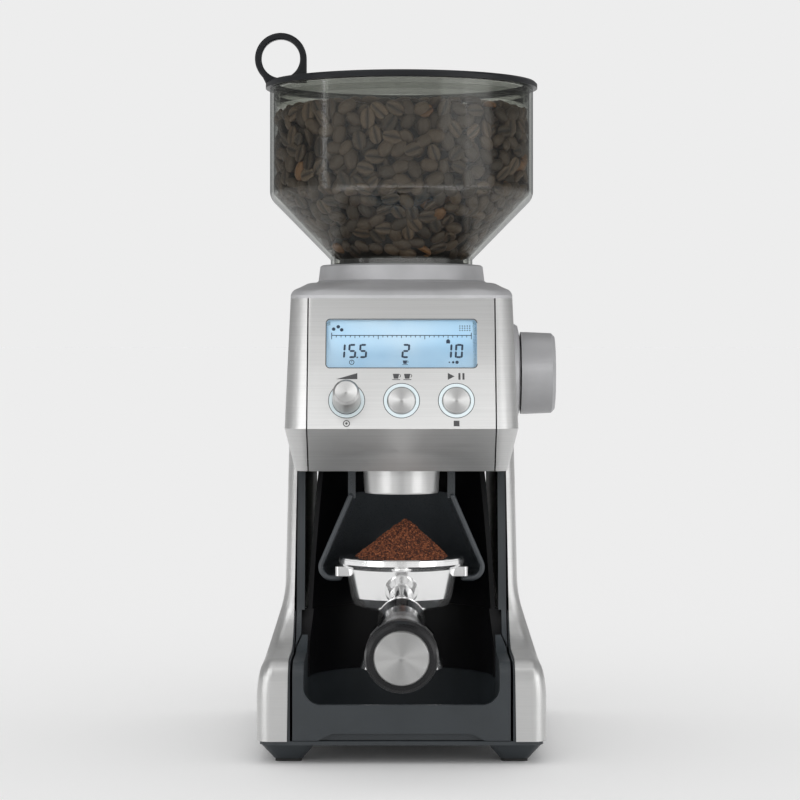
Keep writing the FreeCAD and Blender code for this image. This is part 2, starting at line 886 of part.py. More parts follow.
def tray():
    """Scoop tray: U-shaped slate front, low floor and a low curved wall at the back of the bay."""
    outer_r = bay_radius + liner_wall
    plan = half_round_plan(outer_r, tray_half, base_front, tray_low_z, tray_top_z)
    block = edge_prism(edge_setback, tray_low_z, tray_half).common(plan)
    floor_z = tray_low_z + tray_floor
    front_inner = base_front + edge_setback + tray_wall
    hollow = half_round_plan(bay_radius, tray_inner_half, front_inner, floor_z, tray_top_z + past)
    over_back = box(-tray_half, tray_half, bay_center_y, bay_center_y + outer_r, tray_back_z,
                    tray_top_z + past)
    mouth = front_block(tray_inner_half, tray_bar_z, tray_top_z + reach, tray_corner, base_front - past,
                        front_inner + tray_wall)
    grip_top = tray_low_z + tray_grip_rise
    grip = y_prism([(-tray_grip_half, tray_low_z - past), (-tray_grip_half, tray_low_z),
                    (tray_grip_slope - tray_grip_half, grip_top),
                    (tray_grip_half - tray_grip_slope, grip_top),
                    (tray_grip_half, tray_low_z), (tray_grip_half, tray_low_z - past)],
                   base_front - past, base_front + tray_wall)
    step_x = tray_half - tray_step
    beside = y_prism([(step_x, tray_top_z + past), (step_x, tray_step_high_z), (tray_half, tray_step_low_z),
                      (tray_half + past, tray_step_low_z), (tray_half + past, tray_top_z + past)],
                     base_front - past, bay_center_y + outer_r)
    for cutter in (hollow, over_back, mouth, grip, beside, mirrored(beside)):
        block = block.cut(cutter)
    return {"grinds_tray": block.removeSplitter()}


def bay():
    """Black liner of the bay with its ceiling, and the slate trims along the steel edges."""
    band_low = tray_back_z + rest_gap
    trim_low = tray_top_z + rest_gap
    outer_r = bay_radius + liner_wall
    behind_r = outer_r + slide_gap

    def wall(outer, inner, z0, z1):
        hollow = half_round_plan(inner, inner, base_front, z0, z1)
        return half_round_plan(outer, outer, base_front, z0, z1).cut(hollow)

    trim_back = edge_setback + trim_depth
    within = edge_prism(trim_back + fixed_fit, skirt_z, base_half)
    behind_tray = within.common(box(-base_half, base_half, bay_center_y, rear_face, skirt_z, trim_low))
    upper = wall(outer_r, bay_radius, trim_low, ceiling_z).common(within)
    band = wall(behind_r, bay_radius - band_proud, band_low, trim_low).common(behind_tray)
    lower = wall(behind_r + liner_wall, behind_r, skirt_z, trim_low).common(behind_tray)
    ceiling = skin_block(skin + rest_gap, skin_overrun).common(
        box(-base_half, base_half, base_front, ceiling_back_y, ceiling_z, ceiling_top_z))
    liner = joined(upper, band, lower, ceiling)
    liner = liner.cut(post(chute_r + rest_gap, ceiling_z - past, ceiling_top_z + past, 0, outlet_y))
    slot_half = trigger_half + rest_gap
    slot = box(-slot_half, slot_half, bay_center_y, rear_face, trigger_low_z - rest_gap,
               trigger_high_z + rest_gap)
    strip = edge_prism(edge_setback, skirt_z, base_half)
    strip = strip.cut(edge_prism(trim_back, skirt_z, base_half))
    trim_outer = bay_half_top - rest_gap
    trim_top = ceiling_z - rest_gap
    beside_tray = tray_half - tray_step + slide_gap
    trim = strip.common(y_prism([(trim_inner, trim_top), (trim_outer, trim_top),
                                 (trim_outer, tray_step_low_z + slide_gap),
                                 (beside_tray, tray_step_high_z + slide_gap), (beside_tray, trim_low),
                                 (trim_inner, trim_low)], base_front, bay_center_y + bay_radius))
    return {"bay_liner": liner.cut(slot).removeSplitter(),
            "bay_trims": Part.makeCompound([trim, mirrored(trim)])}


def outlet():
    bore_r = chute_r + rest_gap
    collar = turned([(bore_r, outlet_z), (outlet_low_r, outlet_z), (outlet_low_r + 0.3, outlet_z + 0.8),
                     (outlet_top_r, ceiling_z), (bore_r, ceiling_z)], 0, outlet_y)
    top = flange_low_z - rest_gap
    tube = post(chute_r, outlet_z + chute_wall, top, 0, outlet_y)
    tube = tube.cut(post(chute_r - chute_wall, outlet_z, top - chute_wall, 0, outlet_y))
    chute = tube.cut(post(chamber_r + fixed_fit, chamber_floor_z, top + past))
    return {"outlet_collar": collar, "outlet_chute": chute}


def cradle():
    """Half funnel behind the portafilter, with beaded edges, rails under the ceiling and fork ledges."""
    top = outlet_z - cradle_drop
    mid_wall = cradle_wall / 2
    mid_r = cradle_top_r + mid_wall
    lean = math.atan2(cradle_low_r - cradle_top_r, top - cradle_low_z)
    bead_z = ledge_top_z - bead_r
    corner_r = mid_r + (top - bead_z) * math.tan(lean)
    bend_r = corner_r - cradle_round / math.tan((math.pi / 2 - lean) / 2)
    bend_z = bead_z + cradle_round

    def bend(radius, share):
        turn = lean - (lean + math.pi / 2) * share
        return bend_r + radius * math.cos(turn), bend_z + radius * math.sin(turn)

    shares = [step / bend_steps for step in range(bend_steps + 1)]
    slant = mid_wall / math.cos(lean)
    section = [(mid_r - slant, top), (mid_r + slant, top)]
    section += [bend(cradle_round + mid_wall, share) for share in shares]
    section += [bend(cradle_round - mid_wall, share) for share in reversed(shares)]
    back_half = box(-reach, reach, outlet_y, outlet_y + reach, 0, top)
    solids = [turned(section, 0, outlet_y).common(back_half)]
    upper = V(mid_r + bead_r * math.tan(lean), outlet_y, top - bead_r)
    tip = V(ledge_inner + bead_r, outlet_y, bead_z)
    first, mid, last = [V(r, outlet_y, z) for r, z in (bend(cradle_round, share) for share in (0, 0.5, 1))]
    track = Part.Wire([Part.LineSegment(upper, first).toShape(), Part.Arc(first, mid, last).toShape(),
                       Part.LineSegment(last, tip).toShape()])
    bead = track.makePipeShell([Part.Wire(Part.makeCircle(bead_r, upper, first - upper))], True, True)
    side = [bead, Part.makeSphere(bead_r, upper), Part.makeSphere(bead_r, tip)]
    side.append(box(ledge_inner, bend_r, outlet_y, outlet_y + ledge_length, ledge_top_z - ledge_thick,
                    ledge_top_z))
    side.append(box(cradle_top_r - mid_wall, cradle_top_r + cradle_wall + mid_wall, outlet_y,
                    outlet_y + rail_length, top - rail_depth, ceiling_z - rest_gap))
    solids += side + [mirrored(shape) for shape in side]
    window = box(-trigger_half - trigger_margin, trigger_half + trigger_margin, outlet_y + rail_length,
                 outlet_y + reach,
                 trigger_low_z - trigger_margin, trigger_high_z + trigger_margin)
    return {"portafilter_cradle": joined(*solids).cut(window)}


def trigger():
    """Button that the portafilter rim presses, and the switch behind the liner."""
    front = outlet_y + rim_r + slide_gap
    rear = bay_center_y + bay_radius + liner_wall
    plunger_end = rear + plunger_length
    switch_front = plunger_end + trigger_travel + rest_gap
    middle_z = (trigger_low_z + trigger_high_z) / 2
    paddle = box(-trigger_half, trigger_half, front, rear + past, trigger_low_z, trigger_high_z)
    paddle = softened(paddle, trigger_round, lambda edge: abs(middle(edge).y - front) < 0.01)
    plunger = box(-plunger_half, plunger_half, rear, plunger_end, middle_z - plunger_half,
                  middle_z + plunger_half)
    half = 2 * trigger_half
    leg_inner = trigger_half + trigger_margin
    low_z = trigger_low_z - trigger_margin
    high_z = trigger_high_z + trigger_margin
    switch = box(-half, half, switch_front, switch_front + trigger_switch_depth, low_z, high_z)
    leg_y = bay_center_y + math.sqrt((bay_radius + liner_wall) ** 2 - leg_inner ** 2) + rest_gap
    leg = box(leg_inner, half, leg_y, switch_front + past, low_z, high_z)
    return {"trigger_button": joined(paddle, plunger),
            "trigger_switch": joined(switch, leg, mirrored(leg))}


def neck():
    """Waisted arm from the bowl to the ferrule."""
    return turned_along([(0, 0), (9.0, 0), (6.4, 8), (6.6, 22), (9.5, 34), (0, 34)],
                        V(0, neck_y, neck_z), V(0, ferrule_y, ferrule_z))


def portafilter():
    y = outlet_y
    bowl = turned([(0, bowl_low_z), (bowl_low_r - 6, bowl_low_z), (bowl_low_r - 1.8, bowl_low_z + 1.9),
                   (bowl_low_r, bowl_low_z + 6), (bowl_top_r, rim_z - 5), (rim_r - 0.8, rim_z - 3.2),
                   (rim_r, rim_z - 2.2), (rim_r, rim_z), (0, rim_z)], 0, y)
    cavity_r = bowl_low_r - bowl_wall
    bowl = bowl.cut(post(cavity_r, bowl_low_z + bowl_floor, rim_z + past, 0, y))
    lug_low = ledge_top_z + rest_gap
    lug_top = lug_low + lug_height
    arms = box(-lug_r, lug_r, y - lug_half, y + lug_half, lug_low, lug_top)
    arms = softened(arms, lug_round, rises).cut(post(bowl_low_r, lug_low - past, lug_top + past, 0, y))
    arm = neck().cut(post(cavity_r + rest_gap, bowl_low_z, rim_z, 0, y))
    drain = post(spout_bore, bowl_low_z - past, bowl_low_z + bowl_floor + past, 0, y)
    outer = cavity_r - rest_gap
    inner = outer - basket_wall
    basket_top = rim_z + basket_lip
    lip_r = rim_r - rest_gap
    step_z = basket_floor_z + basket_step
    basket = turned([(0, basket_floor_z), (inner - 2.0, basket_floor_z), (outer, step_z), (outer, rim_z),
                     (lip_r, rim_z), (lip_r, basket_top - 0.5), (lip_r - 0.6, basket_top),
                     (inner + 1.0, basket_top),
                     (inner, rim_z), (inner, step_z), (inner - 2.4, basket_floor_z + basket_wall),
                     (0, basket_floor_z + basket_wall)], 0, y)
    return {"portafilter_bowl": joined(bowl, arms, arm).cut(drain), "filter_basket": basket,
            "portafilter_spout": spout(), **handle()}


def spout():
    """Hub under the bowl that forks into two downward spouts."""
    y = outlet_y
    hub_z = bowl_low_z - hub_height
    solids = [turned([(0, hub_z), (hub_r - 1.5, hub_z), (hub_r, hub_z + 2), (hub_r, bowl_low_z),
                      (0, bowl_low_z)], 0, y)]
    bores = [post(spout_bore, hub_z + 2, bowl_low_z + past, 0, y)]
    for side in (-1, 1):
        start = V(side * spout_bore, y, hub_z + hub_height / 2)
        bend = V(side * spout_bend_x, y, spout_z + spout_drop)
        tip = V(side * spout_x, y, spout_z)
        solids += [rod(spout_r, start, bend), Part.makeSphere(spout_r, bend), rod(spout_r, tip, bend)]
        bores += [rod(spout_bore, start, bend), Part.makeSphere(spout_bore, bend),
                  rod(spout_bore, tip - V(0, 0, past), bend)]
    return joined(*solids).cut(joined(*bores))


def handle():
    """Ferrule, flared grip and spun end cap, along the drooping handle axis."""
    start = V(0, ferrule_y, ferrule_z)
    end = V(0, handle_end_y, handle_end_z)
    length = (end - start).Length
    grip_r = ferrule_r - 2.2
    socket_r = end_disc_r + running_fit
    ferrule = turned_along([(0, -1.5), (grip_r, -1.5), (ferrule_r, 0), (ferrule_r, 3.5),
                            (grip_r + 0.8, 14), (grip_r, ferrule_length),
                            (0, ferrule_length)], start, end).cut(neck())
    grip = turned_along([(0, ferrule_length), (grip_r, ferrule_length),
                         (grip_r + 1.0, ferrule_length + 3),
                         (grip_r + 1.4, ferrule_length + 14), (handle_end_r - 3, length - 22),
                         (handle_end_r - 0.2, length - 9),
                         (handle_end_r, length - 4), (handle_end_r - 0.9, length - 1),
                         (handle_end_r - 2.4, length),
                         (socket_r, length - 0.6), (socket_r, length - end_disc_thick),
                         (0, length - end_disc_thick)],
                        start, end)
    cap = turned_along([(0, length - end_disc_thick), (end_disc_r, length - end_disc_thick),
                        (end_disc_r, length - 1.2),
                        (end_disc_r - 0.8, length - 0.5), (0, length - 1.0)], start, end)
    return {"neck_ferrule": ferrule, "portafilter_handle": grip, "handle_end_cap": cap}


def size_dial():
    """Dial on the right, its shaft with a small pinion, and the plate that carries them."""
    depth = dial_face_x - dial_base_x
    center = V(dial_base_x, 0, dial_z)
    knob = turned_along([(0, 0), (dial_r, 0), (dial_r, 3), (dial_face_r + 0.3, depth - 2.2),
                         (dial_face_r - 1.6, depth - 0.4),
                         (0, depth)], center, center + V(depth, 0, 0))
    crown_start = crown_r - crown_face / 2
    shaft = x_rod(dial_shaft_r, crown_start, dial_base_x, 0, dial_z)
    pinion = gear(dial_teeth, crown_module, 0, crown_face, 180.0)
    pinion.Placement = FreeCAD.Placement(V(crown_start, 0, dial_z), FreeCAD.Rotation(V(0, 1, 0), 90))
    plate_start = V(escutcheon_x - escutcheon_depth, 0, dial_z)
    plate = turned_along([(0, 0), (escutcheon_r, 0), (escutcheon_r, 6.0), (escutcheon_r - 1.6, 8.4),
                          (dial_r - 2.0, escutcheon_depth), (0, escutcheon_depth)],
                         plate_start, plate_start + V(escutcheon_depth, 0, 0)).cut(outer_block)
    boss = x_rod(dial_boss_r, crown_start + crown_face + dial_boss_gap, escutcheon_x - past, 0, dial_z)
    bore = x_rod(dial_shaft_r + running_fit, 0, reach, 0, dial_z)
    return {"grind_size_dial": knob, "dial_shaft": joined(shaft, pinion),
            "dial_escutcheon": joined(plate, boss).cut(bore)}


def chamber():
    """Cup round the burrs with a flange under the adjusting ring, standing on the gearbox lid."""
    floor_top = chamber_floor_z + chamber_floor
    hole_r = bearing_r + past
    flange_r = chamber_r + flange_width
    cup = turned([(hole_r, chamber_floor_z), (chamber_r, chamber_floor_z), (chamber_r, flange_low_z),
                  (flange_r, flange_low_z + flange_width), (flange_r, flange_top_z),
                  (chamber_r, flange_top_z),
                  (chamber_r, chamber_top_z), (chamber_inner, chamber_top_z), (chamber_inner, floor_top),
                  (hole_r, floor_top)])
    stand = ring(stand_r, stand_r - chamber_wall, case_top_z + lid_plate, chamber_floor_z)
    exit_window = box(-exit_half, exit_half, -chamber_r - past, past - chamber_inner, floor_top + past,
                      floor_top + exit_height)
    seal = ring(chamber_r, carrier_r - seal_lap, carrier_top_z + seal_lap, seat_z)
    return {"burr_chamber": cup.fuse(stand).cut(exit_window).removeSplitter(), "chamber_seal": seal}


def adjusting_ring():
    """Ring that lifts the upper burr, with crown teeth below for the dial pinion."""
    outer = crown_r + crown_face / 2
    body = ring(outer, chamber_r + rest_gap, ring_low_z, ring_low_z + ring_height)
    tip_z = crown_pitch_z - addendum * crown_module
    root_z = ring_low_z + crown_module / 3
    tooth = x_prism([(-crown_root_half, root_z), (crown_root_half, root_z), (crown_tip_half, tip_z),
                     (-crown_tip_half, tip_z)],
                    crown_r - crown_face / 2, outer - running_fit)
    teeth = []
    for index in range(crown_teeth):
        turned_tooth = tooth.copy()
        turned_tooth.rotate(V(0, 0, 0), V(0, 0, 1), (index + 0.5) * 360 / crown_teeth)
        teeth.append(turned_tooth)
    return {"adjusting_ring": body.multiFuse(teeth)}


def burrs():
    """Cone burr with slanted flutes inside a ring burr, the ring's carrier and the nut on the cone."""
    top = burr_low_z + cone_height
    slope = (cone_low_r - cone_top_r) / cone_height
    cone = turned([(spindle_r, burr_low_z), (cone_low_r, burr_low_z),
                   (cone_low_r, burr_low_z + cone_land), (cone_top_r, top),
                   (spindle_r, top)])
    flute_foot = V(cone_low_r, 0, burr_low_z)
    ring_low = burr_low_z + burr_gap
    ring_top = ring_low + ring_burr_height
    inner_low = cone_low_r + burr_gap
    inner_top = inner_low + ring_burr_flare
    ring_burr = turned([(inner_low, ring_low), (ring_burr_r, ring_low), (ring_burr_r, ring_top),
                        (inner_top, ring_top),
                        (inner_low - flute_depth / 2, ring_low + 2 * cone_land)])
    for index in range(burr_flutes):
        turn = index * 360 / burr_flutes
        flute = box(cone_low_r - flute_depth, cone_low_r + 4 * flute_depth, -flute_half, flute_half,
                    burr_low_z - cone_land, top + 2 * cone_land)
        flute.rotate(flute_foot, V(0, 1, 0), -math.degrees(math.atan(slope)))
        flute.rotate(flute_foot, V(1, 0, 0), flute_slant)
        flute.rotate(V(0, 0, 0), V(0, 0, 1), turn)
        cone = cone.cut(flute)
        notch = box(inner_low - 4 * flute_depth, inner_low + flute_depth / 2, -flute_half, flute_half,
                    ring_low - past, ring_top + past)
        notch.rotate(V(0, 0, 0), V(0, 0, 1), turn + 180 / burr_flutes)
        ring_burr = ring_burr.cut(notch)
    carrier = turned([(ring_burr_r, ring_low), (carrier_r, ring_low), (carrier_r, carrier_top_z),
                      (carrier_r - carrier_lip, carrier_top_z), (inner_top + 0.5, ring_top + 1.0),
                      (inner_top, ring_top),
                      (ring_burr_r, ring_top)])
    nut = plan_block(nut_half, -nut_half, nut_half, nut_corner, top, top + nut_height)
    nut = nut.cut(post(spindle_r, top - past, top + nut_height + past))
    return {"lower_burr": cone, "upper_burr": ring_burr, "upper_burr_carrier": carrier, "burr_nut": nut}


def main_spindle():
    """Shaft of the lower burr with the grounds impeller and the last gear wheel."""
    vane_low = chamber_floor_z + chamber_floor + impeller_gap
    vane_r = chamber_inner - 2 * impeller_gap
    shaft = joined(post(shaft_r, gear_floor_z + rest_gap, burr_low_z),
                   post(spindle_r, burr_low_z, burr_low_z + cone_height + nut_height + spindle_end))
    disc = ring(vane_r, shaft_r, vane_low, vane_low + impeller_thick)
    disc = disc.fuse(ring(bearing_r, shaft_r, vane_low, burr_low_z))
    vanes = []
    for index in range(impeller_vanes):
        vane = box(bearing_r - past, vane_r, -impeller_thick / 2, impeller_thick / 2, vane_low + past,
                   vane_low + vane_height)
        vane.rotate(V(0, 0, 0), V(0, 0, 1), (index + 0.5) * 360 / impeller_vanes)
        vanes.append(vane)
    wheel = gear(main_teeth, main_module, high_gear_z, high_gear_top_z, 90.0)
    wheel = wheel.cut(post(shaft_r, high_gear_z - past, high_gear_top_z + past))
    return {"main_shaft": shaft, "impeller": disc.multiFuse(vanes).removeSplitter(), "main_gear": wheel}


def facing_gap(teeth):
    """Phase of a gear that turns a gap towards the front, to take the tooth of the gear before it."""
    return 180.0 / teeth - 90.0


def lay_gear():
    pinion = gear(lay_pinion_teeth, main_module, low_gear_z, high_gear_top_z,
                  facing_gap(lay_pinion_teeth))
    wheel = gear(lay_wheel_teeth, lay_module, low_gear_z, low_gear_top_z, 90.0)
    shaft = post(lay_shaft_r, gear_floor_z + rest_gap, case_top_z + lid_plate - rest_gap)
    cluster = joined(wheel, pinion, shaft)
    cluster.translate(V(0, lay_y, 0))
    return {"lay_gear": cluster}


def gearbox():
    """Cast case on the bay ceiling and its lid, with seats for the bearings and bushes."""
    front = case_front_gap - case_half
    back = motor_y + case_behind_motor
    case = plan_block(case_half, front, back, case_corner, ceiling_top_z, case_top_z)
    case = case.cut(plan_block(case_half - case_wall, front + case_wall, back - case_wall,
                               case_corner - case_wall,
                               gear_floor_z, case_top_z + past))
    seat_low = gear_floor_z + bearing_height
    seat_top = case_top_z + bearing_height
    lid_top = case_top_z + lid_plate
    seat_r = bearing_r + case_wall
    case = joined(case, post(seat_r, gear_floor_z, seat_low),
                  post(bush_r + case_wall, gear_floor_z, seat_low, 0, lay_y))
    case = case.cut(post(bearing_r, gear_floor_z, seat_low + past))
    case = case.cut(post(bush_r, gear_floor_z, seat_low + past, 0, lay_y))
    case = case.cut(post(motor_shaft_r + past, ceiling_top_z - past, gear_floor_z + past, 0, motor_y))
    cover = plan_block(case_half, front, back, case_corner, case_top_z,
                       lid_top).fuse(post(seat_r, case_top_z, seat_top))
    cover = cover.cut(post(bearing_r, case_top_z - past, seat_top + past)).cut(
        post(bush_r, case_top_z - past, lid_top + past, 0, lay_y))
    bearings = [ring(bearing_r, shaft_r + running_fit, gear_floor_z, seat_low),
                ring(bearing_r, shaft_r + running_fit, case_top_z, seat_top),
                ring(bush_r, lay_shaft_r + running_fit, gear_floor_z, seat_low, 0, lay_y),
                ring(bush_r, lay_shaft_r + running_fit, case_top_z, lid_top, 0, lay_y)]
    corner_x = case_half - case_corner + screw_r
    corners = [(x, y) for x in (-corner_x, corner_x) for y in (back - case_corner, front + case_corner)]
    hole_r = screw_r + fixed_fit
    screws = []
    for x, y in corners:
        screws.append(screw(V(x, y, lid_top), V(0, 0, 1)))
        cover = cover.cut(post(hole_r, case_top_z - past, lid_top + past, x, y))
        case = case.fuse(post(screw_r + case_wall, gear_floor_z, case_top_z, x, y))
        case = case.cut(post(hole_r, lid_top - screw_length - past, case_top_z + past, x, y))
    return {"gearbox_case": case.removeSplitter(), "gearbox_lid": cover.removeSplitter(),
            "shaft_bearings": Part.makeCompound(bearings), "drive_screws": Part.makeCompound(screws)}


def screw(spot, outward):
    """Round-headed screw with a blind socket; spot is under the head."""
    body = joined(post(screw_r, -screw_length, screw_head / 2), post(screw_head_r, 0, screw_head))
    body = body.cut(post(screw_r - rest_gap, screw_head / 2, screw_head + past))
    body.Placement = FreeCAD.Placement(spot, FreeCAD.Rotation(V(0, 0, 1), outward))
    return body


def motor():
    """Motor hung below its bracket: slotted can, armature and pinion."""
    top = ceiling_top_z - bracket_thick
    inner_r = motor_r - motor_wall
    can = post(motor_r, motor_low_z, top, 0, motor_y)
    can = can.cut(post(inner_r, motor_low_z + motor_end, top - motor_end, 0, motor_y))
    can = can.cut(post(motor_shaft_r + running_fit, motor_low_z - past, top + past, 0, motor_y))
    slot_low = motor_low_z + commutator_low
    slot_top = motor_low_z + stack_low
    can = can.cut(box(-reach, reach, motor_y - commutator_r, motor_y + commutator_r, slot_low, slot_top))
    bracket = plan_block(case_half, motor_y - motor_r - past, motor_y + motor_r + past, case_corner, top,
                         ceiling_top_z)
    bracket = bracket.cut(post(2 * motor_shaft_r, top - past, ceiling_top_z + past, 0, motor_y))
    shaft = post(motor_shaft_r, motor_low_z - motor_end, low_gear_top_z + past, 0, motor_y)
    stack = post(inner_r - 2.5, slot_top, top - 2 * motor_end, 0, motor_y)
    commutator = post(commutator_r, slot_low, slot_top, 0, motor_y)
    pinion = gear(motor_teeth, lay_module, low_gear_z - past, low_gear_top_z, facing_gap(motor_teeth))
    pinion.translate(V(0, motor_y, 0))
    pinion = pinion.cut(post(motor_shaft_r, low_gear_z - 2 * past, low_gear_top_z + past, 0, motor_y))
    return {"motor_can": can, "motor_bracket": bracket, "motor_rotor": joined(shaft, stack, commutator),
            "motor_pinion": pinion}


def y_rod(radius, y0, y1, x, z):
    return rod(radius, V(x, y0, z), V(x, y1, z))


def rear_cover():
    """Plain rear cover with vent slots, its screws, the lead gland and the power board behind it."""
    inner = rear_face - cover_thick
    flange_y = inner - cover_flange
    flange_half = fascia_half - cover_flange
    cover = box(-fascia_half, fascia_half, inner, rear_face, skirt_z, head_top_z).fuse(
        box(-flange_half, flange_half, flange_y, inner, skirt_z + rest_gap, head_top_z))
    for index in range(vent_count):
        z = vent_low_z + index * vent_pitch
        cover = cover.cut(box(-vent_half, vent_half, flange_y - past, rear_face + past, z,
                              z + vent_height))
    cover = cover.cut(y_rod(gland_r + fixed_fit, flange_y - past, rear_face + past, 0, gland_z))
    sunk_y = rear_face - screw_sunk
    screws = []
    for x in (-cover_screw_x, cover_screw_x):
        for z in cover_screw_z:
            screws.append(screw(V(x, sunk_y, z), V(0, 1, 0)))
            cover = cover.cut(y_rod(screw_r + fixed_fit, flange_y - past, rear_face + past, x, z))
            cover = cover.cut(y_rod(screw_head_r + rest_gap, sunk_y, rear_face + past, x, z))
    gland_y = flange_y - gland_flange
    outer = rear_face - gland_y
    length = gland_end - gland_y
    flange_r = gland_r + gland_flange
    gland = turned_along([(gland_bore, 0), (flange_r, 0), (flange_r, gland_flange),
                          (gland_r, gland_flange), (gland_r, outer),
                          (flange_r, outer), (gland_r - 0.6, length), (gland_bore, length)],
                         V(0, gland_y, gland_z), V(0, gland_end, gland_z))
    board_face = power_board_y + power_board_thick / 2
    board = box(-power_board_half, power_board_half, board_face - power_board_thick, board_face,
                power_board_low,
                power_board_top)
    solids = [board]
    for x0, x1, z0, z1, height in power_blocks:
        solids.append(box(x0, x1, board_face, board_face + height, z0, z1))
    return {"rear_cover": cover.removeSplitter(), "case_screws": Part.makeCompound(screws),
            "cord_gland": gland,
            "power_board": joined(*solids)}


def all_parts():
    builders = (side_panels, control_fascia, display, control_board, button_halos, buttons, top_cap,
                hopper, lid,
                base, tray, bay, outlet, cradle, trigger, portafilter, size_dial, chamber,
                adjusting_ring, burrs,
                main_spindle, lay_gear, gearbox, motor, rear_cover)
    parts = {}
    for builder in builders:
        parts.update(builder())
    return parts


def main():
    os.makedirs("parts", exist_ok=True)
    left = pull_x - pull_r
    datum = V((left + dial_face_x) / 2, (handle_end_y + gland_end) / 2, 0)
    for name, shape in all_parts().items():
        shape.translate(-datum)
        shape.exportStep(os.path.join("parts", name + ".step"))
        print(name, shape.isValid(), len(shape.Solids), round(shape.Volume / 1000, 2))
    print("datum", datum)


main()
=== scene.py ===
import json
import math
import random

import bmesh
import bpy
from mathutils import Matrix, Vector, noise


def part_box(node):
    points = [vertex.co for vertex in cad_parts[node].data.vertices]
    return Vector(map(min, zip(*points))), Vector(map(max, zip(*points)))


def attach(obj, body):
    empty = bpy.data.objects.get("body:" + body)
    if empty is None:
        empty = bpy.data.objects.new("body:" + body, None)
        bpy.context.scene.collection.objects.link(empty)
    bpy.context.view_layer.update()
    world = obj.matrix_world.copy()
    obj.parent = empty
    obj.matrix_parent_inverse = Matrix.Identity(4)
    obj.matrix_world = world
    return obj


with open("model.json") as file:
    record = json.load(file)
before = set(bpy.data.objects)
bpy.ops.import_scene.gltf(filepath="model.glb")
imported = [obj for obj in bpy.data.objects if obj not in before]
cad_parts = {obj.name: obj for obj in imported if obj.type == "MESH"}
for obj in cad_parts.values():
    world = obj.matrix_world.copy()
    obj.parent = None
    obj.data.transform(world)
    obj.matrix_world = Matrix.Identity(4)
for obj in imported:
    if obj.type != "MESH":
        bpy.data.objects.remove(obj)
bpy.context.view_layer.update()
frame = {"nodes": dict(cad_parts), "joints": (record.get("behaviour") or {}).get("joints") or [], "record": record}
nodes = frame["nodes"]
mm = 0.001
print("frame loaded:", len(nodes), "nodes")


# small helpers for node trees and meshes

def newMaterial(name):
    material = bpy.data.materials.new(name)
    material.use_nodes = True
    tree = material.node_tree
    tree.nodes.clear()
    output = tree.nodes.new("ShaderNodeOutputMaterial")
    surface = tree.nodes.new("ShaderNodeBsdfPrincipled")
    tree.links.new(surface.outputs[0], output.inputs["Surface"])
    return material, tree, surface, output


def setSockets(node, **values):
    for name, value in values.items():
        node.inputs[name.replace("_", " ")].default_value = value


def objectNoise(tree, scale, detail=3.0, stretch=(1, 1, 1), rough=0.55):
    place = tree.nodes.new("ShaderNodeTexCoord")
    mapping = tree.nodes.new("ShaderNodeMapping")
    mapping.inputs["Scale"].default_value = stretch
    cloud = tree.nodes.new("ShaderNodeTexNoise")
    setSockets(cloud, Scale=scale, Detail=detail, Roughness=rough)
    tree.links.new(place.outputs["Object"], mapping.inputs["Vector"])
    tree.links.new(mapping.outputs[0], cloud.inputs["Vector"])
    return cloud.outputs[0]


def ramp(tree, source, stops):
    band = tree.nodes.new("ShaderNodeValToRGB")
    band.color_ramp.interpolation = "EASE"
    for index, (place, colour) in enumerate(stops):
        stop = band.color_ramp.elements[index] if index < 2 else band.color_ramp.elements.new(place)
        stop.position = place
        stop.color = colour if len(colour) == 4 else (*colour, 1)
    tree.links.new(source, band.inputs[0])
    return band.outputs[0]


def spread(tree, source, low, high):
    scale = tree.nodes.new("ShaderNodeMapRange")
    scale.inputs["To Min"].default_value = low
    scale.inputs["To Max"].default_value = high
    scale.inputs["From Min"].default_value = 0.3
    scale.inputs["From Max"].default_value = 0.7
    tree.links.new(source, scale.inputs["Value"])
    return scale.outputs[0]


def addBump(tree, surface, source, height, strength=1.0):
    bump = tree.nodes.new("ShaderNodeBump")
    setSockets(bump, Strength=strength, Distance=height)
    tree.links.new(source, bump.inputs["Height"])
    tree.links.new(bump.outputs[0], surface.inputs["Normal"])


def tint(colour, share):
    return tuple(min(1.0, c * share) for c in colour)


def mottle(tree, surface, source, colour, low, high):
    tone = ramp(tree, source, [(0.3, tint(colour, low)), (0.7, tint(colour, high))])
    tree.links.new(tone, surface.inputs["Base Color"])


def meshPiece(name, verts, faces, material, body):
    data = bpy.data.meshes.new(name)
    data.from_pydata([tuple(v) for v in verts], [], faces)
    data.materials.append(material)
    piece = bpy.data.objects.new(name, data)
    bpy.context.scene.collection.objects.link(piece)
    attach(piece, body)
    return piece


def smoothFaces(piece):
    piece.data.polygons.foreach_set("use_smooth", [True] * len(piece.data.polygons))


def paintTones(piece, name, tones):
    colours = piece.data.color_attributes.new(name, "FLOAT_COLOR", "POINT")
    colours.data.foreach_set("color", [c for tone in tones for c in tone])


# finishes

steelSet = {"metal": 0.78, "brushed": 0.6, "uneven": 0.025, "turn": 0.25}
sheetSet = {"clearTo": 0.6, "steep": 6.0, "uneven": 0.2}


def spunAround(tree, surface, axis, amount):
    around = tree.nodes.new("ShaderNodeTangent")
    around.direction_type = "RADIAL"
    around.axis = axis
    tree.links.new(around.outputs[0], surface.inputs["Tangent"])
    setSockets(surface, Anisotropic=amount, Anisotropic_Rotation=steelSet["turn"])


